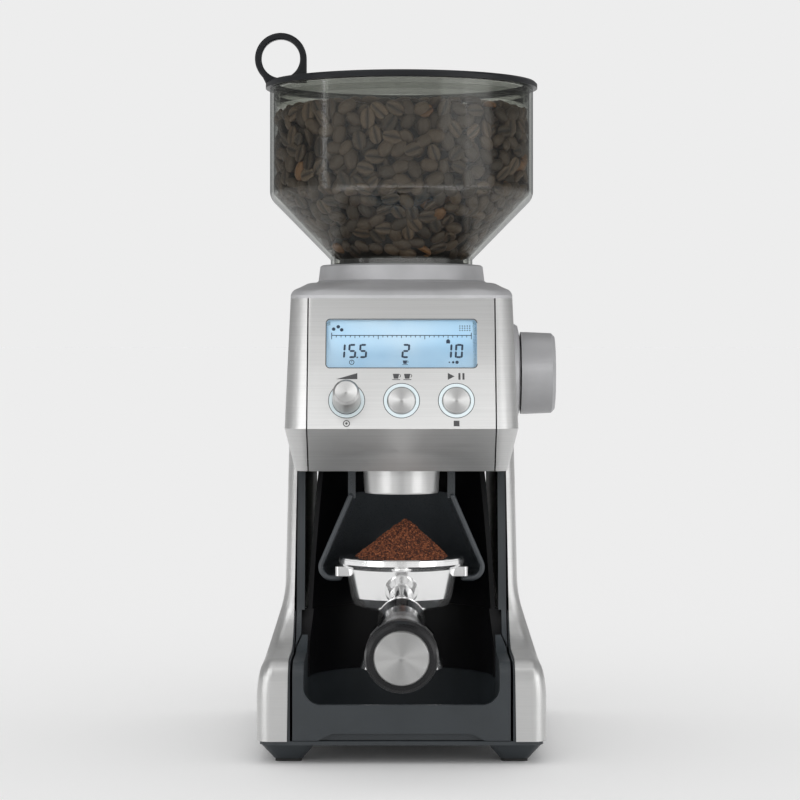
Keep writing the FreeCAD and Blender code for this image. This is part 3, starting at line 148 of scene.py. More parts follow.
def brushedSteel(name, colour, roughness, stretch, grain=1.0):
    material, tree, surface, _ = newMaterial(name)
    fine = objectNoise(tree, 1.0, 3.0, stretch, 0.6)
    broad = objectNoise(tree, 1.0, 2.0, tuple(s * 0.12 for s in stretch), 0.5)
    mottle(tree, surface, fine, colour, 1 - 0.05 * grain, 1 + 0.03 * grain)
    uneven = steelSet["uneven"]
    coarse = spread(tree, broad, roughness - uneven, roughness + uneven)
    tree.links.new(coarse, surface.inputs["Roughness"])
    setSockets(surface, Metallic=steelSet["metal"])
    spunAround(tree, surface, "Z", steelSet["brushed"])
    addBump(tree, surface, fine, 0.000006 * grain, 0.3)
    return material


def spunSteel(name, colour, axis, roughness=0.42, amount=0.97):
    material, tree, surface, _ = newMaterial(name)
    fine = objectNoise(tree, 2600.0, 2.0)
    mottle(tree, surface, fine, colour, 0.96, 1.03)
    uneven = steelSet["uneven"]
    coarse = spread(tree, fine, roughness - uneven, roughness + uneven)
    tree.links.new(coarse, surface.inputs["Roughness"])
    setSockets(surface, Metallic=1.0)
    spunAround(tree, surface, axis, amount)
    return material


def mouldedPlastic(name, colour, roughness, grain=0.00002, scale=2600.0, metal=0.0, shine=0.5):
    material, tree, surface, _ = newMaterial(name)
    broad = objectNoise(tree, 40.0, 3.0)
    pebble = objectNoise(tree, scale, 2.0)
    mottle(tree, surface, broad, colour, 0.92, 1.08)
    tree.links.new(spread(tree, pebble, roughness - 0.05, roughness + 0.05), surface.inputs["Roughness"])
    setSockets(surface, Metallic=metal, Specular_IOR_Level=shine)
    addBump(tree, surface, pebble, grain, 0.5)
    return material


def polishedChrome(name, colour):
    material, tree, surface, _ = newMaterial(name)
    haze = objectNoise(tree, 60.0, 3.0)
    tree.links.new(spread(tree, haze, 0.11, 0.17), surface.inputs["Roughness"])
    mottle(tree, surface, haze, colour, 0.96, 1.0)
    setSockets(surface, Metallic=1.0)
    return material


def radiusFrom(tree, middle):
    place = tree.nodes.new("ShaderNodeTexCoord")
    flat = tree.nodes.new("ShaderNodeMapping")
    flat.inputs["Location"].default_value = (-middle.x, -middle.y, 0)
    flat.inputs["Scale"].default_value = (1, 1, 0)
    radius = tree.nodes.new("ShaderNodeVectorMath")
    radius.operation = "LENGTH"
    tree.links.new(place.outputs["Object"], flat.inputs["Vector"])
    tree.links.new(flat.outputs[0], radius.inputs[0])
    return radius.outputs["Value"], place.outputs["Object"]


def fade(tree, source, first, last, low, high):
    step = tree.nodes.new("ShaderNodeMapRange")
    step.interpolation_type = "SMOOTHSTEP"
    setSockets(step, From_Min=first, From_Max=last, To_Min=low, To_Max=high)
    tree.links.new(source, step.inputs["Value"])
    return step.outputs[0]


bowlSet = {"colour": (0.94, 0.94, 0.94), "bowlR": 33.7 * mm, "neckR": 36.0 * mm, "bowlMetal": 0.93,
           "neckPaintedShade": 0.55}


def bowlSteel(spec):
    material = polishedChrome("bowlSteel", spec["colour"])
    tree = material.node_tree
    surface = next(n for n in tree.nodes if n.type == "BSDF_PRINCIPLED")
    radius, _ = radiusFrom(tree, sum(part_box("filter_basket"), Vector()) / 2)
    metal = fade(tree, radius, spec["bowlR"], spec["neckR"], spec["bowlMetal"], 1.0)
    tree.links.new(metal, surface.inputs["Metallic"])
    # from the bowl out to the neck and lugs the base colour is scaled down: painted shade and dark reflection on
    # the polished neck and lugs
    tone = tree.nodes.new("ShaderNodeVectorMath")
    tone.operation = "SCALE"
    tree.links.new(surface.inputs["Base Color"].links[0].from_socket, tone.inputs[0])
    neckShadeScale = fade(tree, radius, spec["bowlR"], spec["neckR"], 1.0, spec["neckPaintedShade"])
    tree.links.new(neckShadeScale, tone.inputs["Scale"])
    tree.links.new(tone.outputs[0], surface.inputs["Base Color"])
    return material


def clearSheet(tree, spec):
    through = tree.nodes.new("ShaderNodeBsdfTransparent")
    sheen = tree.nodes.new("ShaderNodeBsdfGlossy")
    cloud = objectNoise(tree, 50.0, 2.0)
    least, most = spec["gloss"] * (1 - sheetSet["uneven"]), spec["gloss"] * (1 + sheetSet["uneven"])
    tree.links.new(spread(tree, cloud, least, most), sheen.inputs["Roughness"])
    facing = tree.nodes.new("ShaderNodeLayerWeight")
    facing.inputs["Blend"].default_value = 0.5
    stops = [(sheetSet["clearTo"], spec["colour"]), (1.0, spec["edge"])]
    tree.links.new(ramp(tree, facing.outputs["Facing"], stops), through.inputs[0])
    steep = tree.nodes.new("ShaderNodeMath")
    steep.operation = "POWER"
    steep.inputs[1].default_value = sheetSet["steep"]
    tree.links.new(facing.outputs["Facing"], steep.inputs[0])
    share = tree.nodes.new("ShaderNodeMapRange")
    setSockets(share, From_Min=0.0, From_Max=1.0, To_Min=spec["least"], To_Max=spec["most"])
    tree.links.new(steep.outputs[0], share.inputs["Value"])
    mix = tree.nodes.new("ShaderNodeMixShader")
    tree.links.new(share.outputs[0], mix.inputs[0])
    tree.links.new(through.outputs[0], mix.inputs[1])
    tree.links.new(sheen.outputs[0], mix.inputs[2])
    return mix.outputs[0]


def clearWall(name, spec):
    material, tree, surface, output = newMaterial(name)
    tree.nodes.remove(surface)
    tree.links.new(clearSheet(tree, spec), output.inputs["Surface"])
    return material


def litPlastic(name, colour, glow, shade):
    material, tree, surface, _ = newMaterial(name)
    cloud = objectNoise(tree, 30.0, 2.0)
    tone = ramp(tree, cloud, [(0.25, shade), (0.75, colour)])
    tree.links.new(tone, surface.inputs["Base Color"])
    tree.links.new(tone, surface.inputs["Emission Color"])
    setSockets(surface, Emission_Strength=glow, Roughness=0.35)
    return material


smokeSet = {"colour": (0.805, 0.81, 0.79), "edge": (0.45, 0.46, 0.46),
            "least": 0.042, "most": 0.6, "gloss": 0.13}
plateSet = {"colour": (0.83, 0.835, 0.82), "edge": (0.70, 0.71, 0.69),
            "least": 0.03, "most": 0.3, "gloss": 0.13}
lensSet = {"colour": (0.98, 0.99, 1.0), "edge": (0.9, 0.92, 0.94),
           "least": 0.02, "most": 0.7, "gloss": 0.12}
sealSet = {"colour": (0.88, 0.885, 0.87), "edge": (0.6, 0.61, 0.6),
           "least": 0.03, "most": 0.5, "gloss": 0.3}
finish = {
    "brushed_steel": brushedSteel("brushedSteel", (0.62, 0.62, 0.615), 0.34, (14, 14, 3600)),
    "spun_steel": spunSteel("spunSteel", (0.60, 0.60, 0.595), "Y"),
    "satin_grey": mouldedPlastic("satinGrey", (0.40, 0.40, 0.41), 0.40, 0.000006, 3200.0, metal=0.35),
    "slate_plastic": mouldedPlastic("slatePlastic", (0.031, 0.037, 0.042), 0.42),
    "black_plastic": mouldedPlastic("blackPlastic", (0.016, 0.016, 0.018), 0.38),
    "rear_plastic": mouldedPlastic("rearPlastic", (0.045, 0.047, 0.05), 0.5, 0.00005, 1400.0),
    "lid_plastic": mouldedPlastic("lidPlastic", (0.018, 0.019, 0.020), 0.34),
    "smoke_clear": clearWall("smokeClear", smokeSet),
    "rubber_black": mouldedPlastic("rubberBlack", (0.018, 0.018, 0.018), 0.75, 0.00006, 1500.0),
    "display_clear": clearWall("displayClear", lensSet),
    "display_blue": litPlastic("displayBlue", (0.43, 0.57, 0.67), 0.19, (0.31, 0.50, 0.65)),
    "halo_white": litPlastic("haloWhite", (0.56, 0.63, 0.65), 0.12, (0.52, 0.60, 0.63)),
    "board_green": mouldedPlastic("boardGreen", (0.02, 0.13, 0.05), 0.4),
    "switch_black": mouldedPlastic("switchBlack", (0.02, 0.02, 0.02), 0.5),
    "tool_steel": brushedSteel("toolSteel", (0.5, 0.5, 0.5), 0.28, (400, 400, 400), 0.6),
    "gear_nylon": mouldedPlastic("gearNylon", (0.72, 0.70, 0.64), 0.45),
    "cast_alloy": mouldedPlastic("castAlloy", (0.5, 0.5, 0.51), 0.5, 0.00012, 700.0, metal=0.9),
    "chrome": polishedChrome("portafilterChrome", (0.90, 0.90, 0.90)),
    "handle_black": mouldedPlastic("handleBlack", (0.008, 0.008, 0.009), 0.28, shine=0.3),
}
endCapSteel = spunSteel("endCapSteel", (0.54, 0.54, 0.535), "Y")
knobSteel = spunSteel("knobSteel", (0.53, 0.53, 0.525), "Y", 0.4, 0.6)
# a lighter copy of the slate plastic for the cradle: painted light in the shaded bay
cradleLitSlate = mouldedPlastic("cradleLitSlate", (0.045, 0.051, 0.057), 0.30)
# a darker copy of the black plastic for the bay liner: painted shade of the recess
linerShadedBlack = mouldedPlastic("linerShadedBlack", (0.006, 0.006, 0.007), 0.45, shine=0.2)

lidSet = {"rimIn": 3.1 * mm, "plateTop": 357.5 * mm, "tone": (0.009, 0.010, 0.012, 1), "shine": 0.3}


def smokedLid(spec):
    material, tree, surface, output = newMaterial("smokedLid")
    pebble = objectNoise(tree, 2600.0, 2.0)
    setSockets(surface, Base_Color=spec["tone"], Specular_IOR_Level=spec["shine"])
    tree.links.new(spread(tree, pebble, 0.29, 0.39), surface.inputs["Roughness"])
    low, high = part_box("bean_hopper")
    radius, place = radiusFrom(tree, (low + high) / 2)
    split = tree.nodes.new("ShaderNodeSeparateXYZ")
    onRim, onRing, dark = [tree.nodes.new("ShaderNodeMath") for _ in range(3)]
    onRim.operation = onRing.operation = "GREATER_THAN"
    dark.operation = "MAXIMUM"
    onRim.inputs[1].default_value = (high.x - low.x) / 2 - spec["rimIn"]
    onRing.inputs[1].default_value = spec["plateTop"]
    tree.links.new(place, split.inputs[0])
    tree.links.new(radius, onRim.inputs[0])
    tree.links.new(split.outputs["Z"], onRing.inputs[0])
    tree.links.new(onRim.outputs[0], dark.inputs[0])
    tree.links.new(onRing.outputs[0], dark.inputs[1])
    mix = tree.nodes.new("ShaderNodeMixShader")
    tree.links.new(dark.outputs[0], mix.inputs[0])
    tree.links.new(clearSheet(tree, plateSet), mix.inputs[1])
    tree.links.new(surface.outputs[0], mix.inputs[2])
    tree.links.new(mix.outputs[0], output.inputs["Surface"])
    return material


for part in frame["record"]["subparts"]:
    node = nodes[part["node"]]
    node.data.materials.clear()
    node.data.materials.append(finish[part["material_slot"]])
nodes["handle_end_cap"].data.materials[0] = endCapSteel
nodes["grind_amount_knob"].data.materials[0] = knobSteel
nodes["portafilter_cradle"].data.materials[0] = cradleLitSlate
nodes["bay_liner"].data.materials[0] = linerShadedBlack
nodes["portafilter_bowl"].data.materials[0] = bowlSteel(bowlSet)
nodes["hopper_lid"].data.materials[0] = smokedLid(lidSet)
nodes["lid_seal"].data.materials[0] = clearWall("clearSeal", sealSet)
print("finishes on the nodes:", len(finish))


# coffee beans in the hopper

beanSet = {
    "seed": 11, "half": (5.3 * mm, 3.8 * mm, 3.1 * mm), "flat": 1.4 * mm, "groove": 1.3 * mm,
    "pressed": 2.4 * mm, "around": 16, "along": 9, "gap": 6.7 * mm, "layer": 5.0 * mm,
    "fillTop": 14.5 * mm, "wallRoom": 0.3 * mm, "neckRoom": 1.5 * mm, "behindDrop": 2.0 * mm,
    "mound": 3.0 * mm, "wellR": 18.5 * mm, "wellTop": 272.0 * mm, "footR": 34.0 * mm, "footZ": 257.4 * mm,
    "wallTries": 9000, "behindTries": 4000, "topTries": 5000, "tilt": 0.25, "sizes": (0.86, 1.06),
    "tone": (0.098, 0.068, 0.045), "depths": (0.5, 1.45),
    "paleTone": (0.25, 0.125, 0.052), "paleShare": 0.035, "coreShadeTone": (0.010, 0.007, 0.005, 1),
    "tipShade": 0.8, "flatShade": 1.25, "groovePaintedShade": 0.16, "grooveWide": 0.16, "grooveDark": 0.1,
}
hopperLow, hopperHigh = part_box("bean_hopper")
hopperX = (hopperLow.x + hopperHigh.x) / 2
hopperY = (hopperLow.y + hopperHigh.y) / 2
hopperShape = {"wall": 2.0 * mm, "shoulderZ": 296.0 * mm, "neckR": 36.9 * mm, "neckZ": 261.0 * mm}
hopperShape["innerR"] = (hopperHigh.x - hopperLow.x) / 2 - hopperShape["wall"]


def hopperInnerR(z):
    share = (z - hopperShape["neckZ"]) / (hopperShape["shoulderZ"] - hopperShape["neckZ"])
    share = max(0.0, min(1.0, share))
    return hopperShape["neckR"] + (hopperShape["innerR"] - hopperShape["neckR"]) * share


def beanMesh(spec):
    halfL, halfW, halfH = spec["half"]
    verts, faces, shades = [(-halfL, 0, 0.1 * halfH)], [], [spec["tipShade"]]
    for ring in range(1, spec["along"] + 1):
        turn = math.pi * ring / (spec["along"] + 1)
        x = -halfL * math.cos(turn)
        girth = math.sin(turn) ** 0.85
        for step in range(spec["around"]):
            angle = 2 * math.pi * step / spec["around"]
            y = halfW * girth * math.cos(angle)
            lift = math.sin(angle)
            if lift >= 0:
                z = halfH * girth * lift
            else:
                z = -spec["flat"] * girth * abs(lift) ** 0.5
                z += spec["groove"] * girth * math.exp(-(y / (spec["grooveWide"] * halfW)) ** 2)
            verts.append((x, y, z))
            # per-vertex factors: ends darker, flat side lighter, and the crease painted near black as painted
            # shade
            if lift >= 0:
                shades.append(1.0)
            elif abs(y) < spec["grooveDark"] * halfW:
                shades.append(spec["groovePaintedShade"])
            else:
                shades.append(spec["flatShade"])
    verts.append((halfL, 0, 0.1 * halfH))
    shades.append(spec["tipShade"])
    count = spec["around"]
    for step in range(count):
        faces.append((0, 1 + (step + 1) % count, 1 + step))
        for ring in range(spec["along"] - 1):
            a = 1 + ring * count
            b = a + (step + 1) % count
            faces.append((a + step, b, b + count, a + count + step))
        last = 1 + (spec["along"] - 1) * count
        faces.append((last + step, last + (step + 1) % count, len(verts) - 1))
    return verts, faces, shades


beanVerts, beanFaces, beanShades = beanMesh(beanSet)


def beanStuff():
    material, tree, surface, _ = newMaterial("roastedBean")
    tone = tree.nodes.new("ShaderNodeVertexColor")
    tone.layer_name = "beanTone"
    skin = objectNoise(tree, 700.0, 4.0)
    blotch = tree.nodes.new("ShaderNodeMix")
    blotch.data_type = "RGBA"
    blotch.blend_type = "MULTIPLY"
    blotch.inputs["Factor"].default_value = 0.6
    tree.links.new(tone.outputs[0], blotch.inputs["A"])
    shade = ramp(tree, skin, [(0.3, (0.55, 0.5, 0.47)), (0.7, (1.0, 1.0, 1.0))])
    tree.links.new(shade, blotch.inputs["B"])
    tree.links.new(blotch.outputs["Result"], surface.inputs["Base Color"])
    tree.links.new(spread(tree, skin, 0.34, 0.52), surface.inputs["Roughness"])
    addBump(tree, surface, skin, 0.00012, 0.6)
    return material


roastedBean = beanStuff()


def beanTone(dice):
    if dice.random() < beanSet["paleShare"]:
        return Vector(beanSet["paleTone"])
    return Vector(beanSet["tone"]) * dice.uniform(*beanSet["depths"])


def scatter(dice, tries, spot, gap):
    kept = []
    for _ in range(tries):
        place = spot(dice)
        if all((place[0] - other[0]).length > gap for other in kept):
            kept.append(place)
    return kept


def insideWall(points, centre):
    over = max(math.hypot(v.x - hopperX, v.y - hopperY) - hopperInnerR(v.z) for v in points)
    over += beanSet["wallRoom"]
    inward = Vector((hopperX - centre.x, hopperY - centre.y, 0)).normalized()
    return [v + inward * max(0.0, over) for v in points]


def beanPiece(name, places, dice):
    verts, faces, tones = [], [], []
    for centre, outward in places:
        aim = outward if dice.random() < 0.5 else -outward
        aim = aim + Vector([dice.gauss(0, beanSet["tilt"]) for _ in range(3)])
        turn = aim.to_track_quat("Z", "X").to_matrix()
        turn = turn @ Matrix.Rotation(dice.uniform(0, 2 * math.pi), 3, "Z")
        turn = turn * dice.uniform(*beanSet["sizes"])
        start = len(verts)
        verts += insideWall([centre + turn @ Vector(v) for v in beanVerts], centre)
        faces += [tuple(start + i for i in f) for f in beanFaces]
        tone = beanTone(dice)
        tones += [(*(tone * shade), 1) for shade in beanShades]
    piece = meshPiece(name, verts, faces, roastedBean, "hopper")
    paintTones(piece, "beanTone", tones)
    smoothFaces(piece)
    return len(places)


def fillHopper():
    dice = random.Random(beanSet["seed"])
    pressed, layer, gap = beanSet["pressed"], beanSet["layer"], beanSet["gap"]
    top = hopperHigh.z - beanSet["fillTop"]
    knee = hopperShape["shoulderZ"]
    low = hopperShape["neckZ"] + beanSet["neckRoom"]
    slope = math.atan2(hopperShape["innerR"] - hopperShape["neckR"], knee - hopperShape["neckZ"])

    def wallSpot(depth, z0, z1, lean):
        def spot(die):
            z = die.uniform(z0, z1)
            angle = die.uniform(0, 2 * math.pi)
            out = Vector((math.cos(angle), math.sin(angle), 0))
            face = (out * math.cos(lean) - Vector((0, 0, math.sin(lean)))).normalized()
            radius = hopperInnerR(z) - depth / math.cos(lean)
            return Vector((hopperX, hopperY, z)) + out * radius, face
        return spot

    def topSpot(die):
        radius = (hopperShape["innerR"] - 2 * layer) * math.sqrt(die.random())
        angle = die.uniform(0, 2 * math.pi)
        across = Vector((math.cos(angle), math.sin(angle), 0)) * radius
        rise = beanSet["mound"] * (1 + noise.noise(across * 60 + Vector((0, 0, 3))))
        return Vector((hopperX, hopperY, top + rise)) + across, Vector((0, 0, 1))

    wallTries, behindTries = beanSet["wallTries"], beanSet["behindTries"]
    atWall = scatter(dice, wallTries, wallSpot(pressed, knee, top, 0.0), gap)
    total = beanPiece("beansAtWall", atWall, dice)
    inFunnel = scatter(dice, wallTries, wallSpot(pressed, low, knee, slope), gap)
    total += beanPiece("beansInFunnel", inFunnel, dice)
    deeper = pressed + layer
    behind = scatter(dice, behindTries, wallSpot(deeper, knee, top - beanSet["behindDrop"], 0.0), gap)
    behind += scatter(dice, behindTries, wallSpot(deeper, low, knee, slope), gap)
    total += beanPiece("beansBehind", behind, dice)
    total += beanPiece("beansOnTop", scatter(dice, beanSet["topTries"], topSpot, gap), dice)
    coreR = hopperShape["innerR"] - pressed - 2 * layer
    wellR, wellTop, footZ = beanSet["wellR"], beanSet["wellTop"], beanSet["footZ"]  # room for the gate
    core = [(0.1 * mm, wellTop), (wellR, wellTop), (wellR, footZ), (beanSet["footR"], footZ),
            (beanSet["footR"], low - pressed), (coreR, knee), (coreR, top - layer)]
    # the core is coloured near black: painted shade of the heap's depths behind the beans
    spin("beanCore", core, roastedBean, "hopper", beanSet["coreShadeTone"])
    return total


def spin(name, profile, material, body, tone, steps=48):
    verts, faces = [], []
    for radius, z in profile:
        for step in range(steps):
            angle = 2 * math.pi * step / steps
            verts.append((hopperX + radius * math.cos(angle), hopperY + radius * math.sin(angle), z))
    for ring in range(len(profile) - 1):
        for step in range(steps):
            a, b = ring * steps + step, ring * steps + (step + 1) % steps
            faces.append((a, b, b + steps, a + steps))
    faces.append(tuple(reversed(range(steps))))
    faces.append(tuple(range(len(verts) - steps, len(verts))))
    piece = meshPiece(name, verts, faces, material, body)
    paintTones(piece, "beanTone", [tone] * len(verts))


print("beans:", fillHopper())


# ground coffee heaped in the basket

groundsHeap = {
    "seed": 5, "footR": 25.0 * mm, "rise": 20.0 * mm, "rings": 40, "around": 110, "crumbs": 5200,
    "lean": 2.2 * mm, "skirt": 4.0 * mm, "skirtIn": 0.08, "sink": 1.0 * mm, "slope": 1.12,
    "lumps": ((95, 0.07), (230, 0.045), (620, 0.03)), "lumpFade": 1.15,
    "crumbReach": 0.985, "crumbSizes": (0.32 * mm, 0.42 * mm, 0.42 * mm, 0.52 * mm, 0.66 * mm),
    "crumbTones": ((0.05, 0.014, 0.006, 1), (0.15, 0.042, 0.015, 1), (0.24, 0.07, 0.025, 1),
                   (0.33, 0.105, 0.04, 1)),
    "heapTone": (0.085, 0.024, 0.009, 1),
}
basketLow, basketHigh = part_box("filter_basket")


def groundsStuff():
    material, tree, surface, _ = newMaterial("groundCoffee")
    grain = objectNoise(tree, 1500.0, 4.0)
    tone = tree.nodes.new("ShaderNodeVertexColor")
    tone.layer_name = "groundsTone"
    blotch = tree.nodes.new("ShaderNodeMix")
    blotch.data_type = "RGBA"
    blotch.blend_type = "MULTIPLY"
    blotch.inputs["Factor"].default_value = 0.7
    tree.links.new(tone.outputs[0], blotch.inputs["A"])
    shade = ramp(tree, grain, [(0.36, (0.25, 0.2, 0.18)), (0.62, (1.0, 1.0, 1.0))])
    tree.links.new(shade, blotch.inputs["B"])
    tree.links.new(blotch.outputs["Result"], surface.inputs["Base Color"])
    setSockets(surface, Roughness=0.85)
    addBump(tree, surface, grain, 0.0004, 0.8)
    return material


def heapHeight(x, y):
    spec = groundsHeap
    reach = math.hypot(x - spec["lean"] * (1 - math.hypot(x, y) / spec["footR"]), y) / spec["footR"]
    if reach > 1:
        return 0.0
    cone = 1 - reach ** spec["slope"]
    lumps = 0.0
    for size, share in spec["lumps"]:
        lumps += share * noise.noise(Vector((x * size, y * size, spec["seed"])))
    return spec["rise"] * max(0.0, cone + lumps * (spec["lumpFade"] - reach))


def heapGrounds():
    spec = groundsHeap
    middle = (basketLow + basketHigh) / 2
    seatZ = basketHigh.z - spec["sink"]
    material = groundsStuff()
    verts, faces = [Vector((middle.x, middle.y, seatZ + heapHeight(0, 0)))], []
    for ring in range(1, spec["rings"] + 1):
        radius = spec["footR"] * ring / spec["rings"]
        for step in range(spec["around"]):
            angle = 2 * math.pi * step / spec["around"]
            x, y = radius * math.cos(angle), radius * math.sin(angle)
            verts.append(Vector((middle.x + x, middle.y + y, seatZ + heapHeight(x, y))))
    count = spec["around"]
    for step in range(count):
        after = (step + 1) % count
        faces.append((0, 1 + step, 1 + after))
        for ring in range(spec["rings"] - 1):
            a = 1 + ring * count
            faces.append((a + step, a + count + step, a + count + after, a + after))
    rim = 1 + (spec["rings"] - 1) * count
    floor = len(verts)
    for v in verts[rim:rim + count]:
        inward = Vector((middle.x - v.x, middle.y - v.y, 0)) * spec["skirtIn"]
        verts.append(Vector((v.x, v.y, seatZ - spec["skirt"])) + inward)
    for step in range(count):
        after = (step + 1) % count
        faces.append((rim + step, floor + step, floor + after, rim + after))
    faces.append(tuple(reversed(range(floor, floor + count))))
    heap = meshPiece("groundsHeap", verts, faces, material, "portafilter")
    smoothFaces(heap)
    paintTones(heap, "groundsTone", [spec["heapTone"]] * len(verts))
    dice = random.Random(spec["seed"])
    crumb = bmesh.new()
    bmesh.ops.create_icosphere(crumb, subdivisions=1, radius=1.0)
    shape = [v.co.copy() for v in crumb.verts]
    sides = [[v.index for v in f.verts] for f in crumb.faces]
    crumb.free()
    verts, faces, tones = [], [], []
    for _ in range(spec["crumbs"]):
        radius = spec["footR"] * spec["crumbReach"] * math.sqrt(dice.random())
        angle = dice.uniform(0, 2 * math.pi)
        x, y = radius * math.cos(angle), radius * math.sin(angle)
        size = dice.choice(spec["crumbSizes"])
        tones += [dice.choice(spec["crumbTones"])] * len(shape)
        centre = Vector((middle.x + x, middle.y + y, seatZ + heapHeight(x, y) + 0.3 * size))
        scale = Vector((dice.uniform(0.7, 1.3), dice.uniform(0.7, 1.3), dice.uniform(0.6, 1.1))) * size
        start = len(verts)
        verts += [centre + Vector((v.x * scale.x, v.y * scale.y, v.z * scale.z)) for v in shape]
        faces += [[start + i for i in f] for f in sides]
    crumbs = meshPiece("groundsCrumbs", verts, faces, material, "portafilter")
    paintTones(crumbs, "groundsTone", tones)
    return spec["crumbs"]


print("ground coffee crumbs:", heapGrounds())


# panel print and display figures, laid out in millimetres from the display's middle

panelPush = next(j for j in frame["joints"] if j["name"] == "shots_push")
panelOut = -Vector(panelPush["axis"]).normalized()
panelAcross = Vector((1, 0, 0))
panelUp = panelOut.cross(panelAcross).normalized()
lensLow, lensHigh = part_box("display_lens")
lensMid = (lensLow + lensHigh) / 2
displaySet = {
    "lensHalf": 0.75 * mm, "panelFace": 1.25 * mm, "ink": 0.06 * mm,
    "figures": (("15.5", -26.0), ("2", 2.0), ("10", 27.0)), "figureSize": (4.2, 7.8), "figureLow": -7.4,
    "stroke": 1.05, "gap": 0.14, "scaleHalf": 36.6, "scaleUp": 4.9, "scaleThick": 0.42, "ticks": 30,
    "markerAt": 24.4, "frameWide": 0.45, "frameCorner": 2.0,
    "haloWide": 2.15, "haloLine": 0.5, "figureLean": 0.06, "figureSpace": 1.5,
    "marksUp": 13.2, "marksDown": 12.4, "cupSize": 0.88, "smallCup": 0.62,
}


def inkMaterial(name, colour, roughness):
    material, tree, surface, _ = newMaterial(name)
    speck = objectNoise(tree, 1800.0, 2.0)
    mottle(tree, surface, speck, colour, 0.9, 1.1)
    setSockets(surface, Roughness=roughness)
    return material


figureInk = inkMaterial("figureInk", (0.010, 0.026, 0.055), 0.5)
panelInk = inkMaterial("panelInk", (0.045, 0.045, 0.047), 0.45)


def bar(x0, x1, y0, y1):
    return [(x0, y0), (x1, y0), (x1, y1), (x0, y1)]


def disc(x, y, radius, steps=20):
    turns = [2 * math.pi * i / steps for i in range(steps)]
    return [(x + radius * math.cos(turn), y + radius * math.sin(turn)) for turn in turns]


def arcBand(x, y, radius, width, first, last, steps=18):
    outer, inner = [], []
    for i in range(steps + 1):
        a = math.radians(first + (last - first) * i / steps)
        outer.append((x + (radius + width / 2) * math.cos(a), y + (radius + width / 2) * math.sin(a)))
        inner.append((x + (radius - width / 2) * math.cos(a), y + (radius - width / 2) * math.sin(a)))
    return outer + inner[::-1]


def frameBand(halfX, halfY, corner, width):
    outer, inner = [], []
    for i in range(4 * 9 + 1):
        turn = math.radians(min(359.99, i * 10.0))
        quarter = int(turn // (math.pi / 2))
        cx = (halfX - corner) * (1 if quarter in (0, 3) else -1)
        cy = (halfY - corner) * (1 if quarter in (0, 1) else -1)
        outer.append((cx + corner * math.cos(turn), cy + corner * math.sin(turn)))
        inner.append((cx + (corner - width) * math.cos(turn), cy + (corner - width) * math.sin(turn)))
    return outer + inner[::-1]


segments = {"0": "abcdef", "1": "bc", "2": "abged", "3": "abgcd", "4": "fgbc",
            "5": "afgcd", "6": "afgedc", "7": "abc", "8": "abcdefg", "9": "abcdfg"}


def figureShapes(text, x, low, spec):
    wide, high = spec["figureSize"]
    s, gap = spec["stroke"], spec["gap"]
    half = high / 2
    lean, space = spec["figureLean"], spec["figureSpace"]
    count = sum(c != "." for c in text)
    left = x - (count * wide + (count - 1) * space) / 2
    shapes = []
    for c in text:
        if c == ".":
            shapes.append(bar(left - 1.15, left - 0.35, low, low + 0.8))
            continue
        across = {"d": 0, "g": half, "a": high}
        for name in segments[c]:
            if name in across:
                y = across[name] + (s / 2 if name == "d" else -s / 2 if name == "a" else 0)
                x0, x1 = left + gap + s / 2, left + wide - gap - s / 2
                shape = [(x0, y), (x0 + s / 2, y + s / 2), (x1 - s / 2, y + s / 2),
                         (x1, y), (x1 - s / 2, y - s / 2), (x0 + s / 2, y - s / 2)]
            else:
                y0, y1 = (half + gap, high - gap) if name in "bf" else (gap, half - gap)
                cx = left + (wide - s / 2 if name in "bc" else s / 2)
                shape = [(cx, y0), (cx + s / 2, y0 + s / 2), (cx + s / 2, y1 - s / 2), (cx, y1),
                         (cx - s / 2, y1 - s / 2), (cx - s / 2, y0 + s / 2)]
            shapes.append([(px + lean * py, low + py) for px, py in shape])
        left += wide + space
    return shapes


def area(shape):
    return sum(a[0] * b[1] - b[0] * a[1] for a, b in zip(shape, shape[1:] + shape[:1]))


def printOn(name, shapes, base, material, thick, body):
    verts, faces = [], []
    for shape in shapes:
        outline = shape if area(shape) > 0 else shape[::-1]
        start, count = len(verts), len(outline)
        for level in (-0.02 * mm, thick):
            origin = base + panelOut * level
            verts += [origin + panelAcross * (x * mm) + panelUp * (y * mm) for x, y in outline]
        faces.append(tuple(start + count + i for i in range(count)))
        faces.append(tuple(start + i for i in reversed(range(count))))
        for i in range(count):
            after = (i + 1) % count
            faces.append((start + i, start + after, start + count + after, start + count + i))
    return meshPiece(name, verts, faces, material, body)


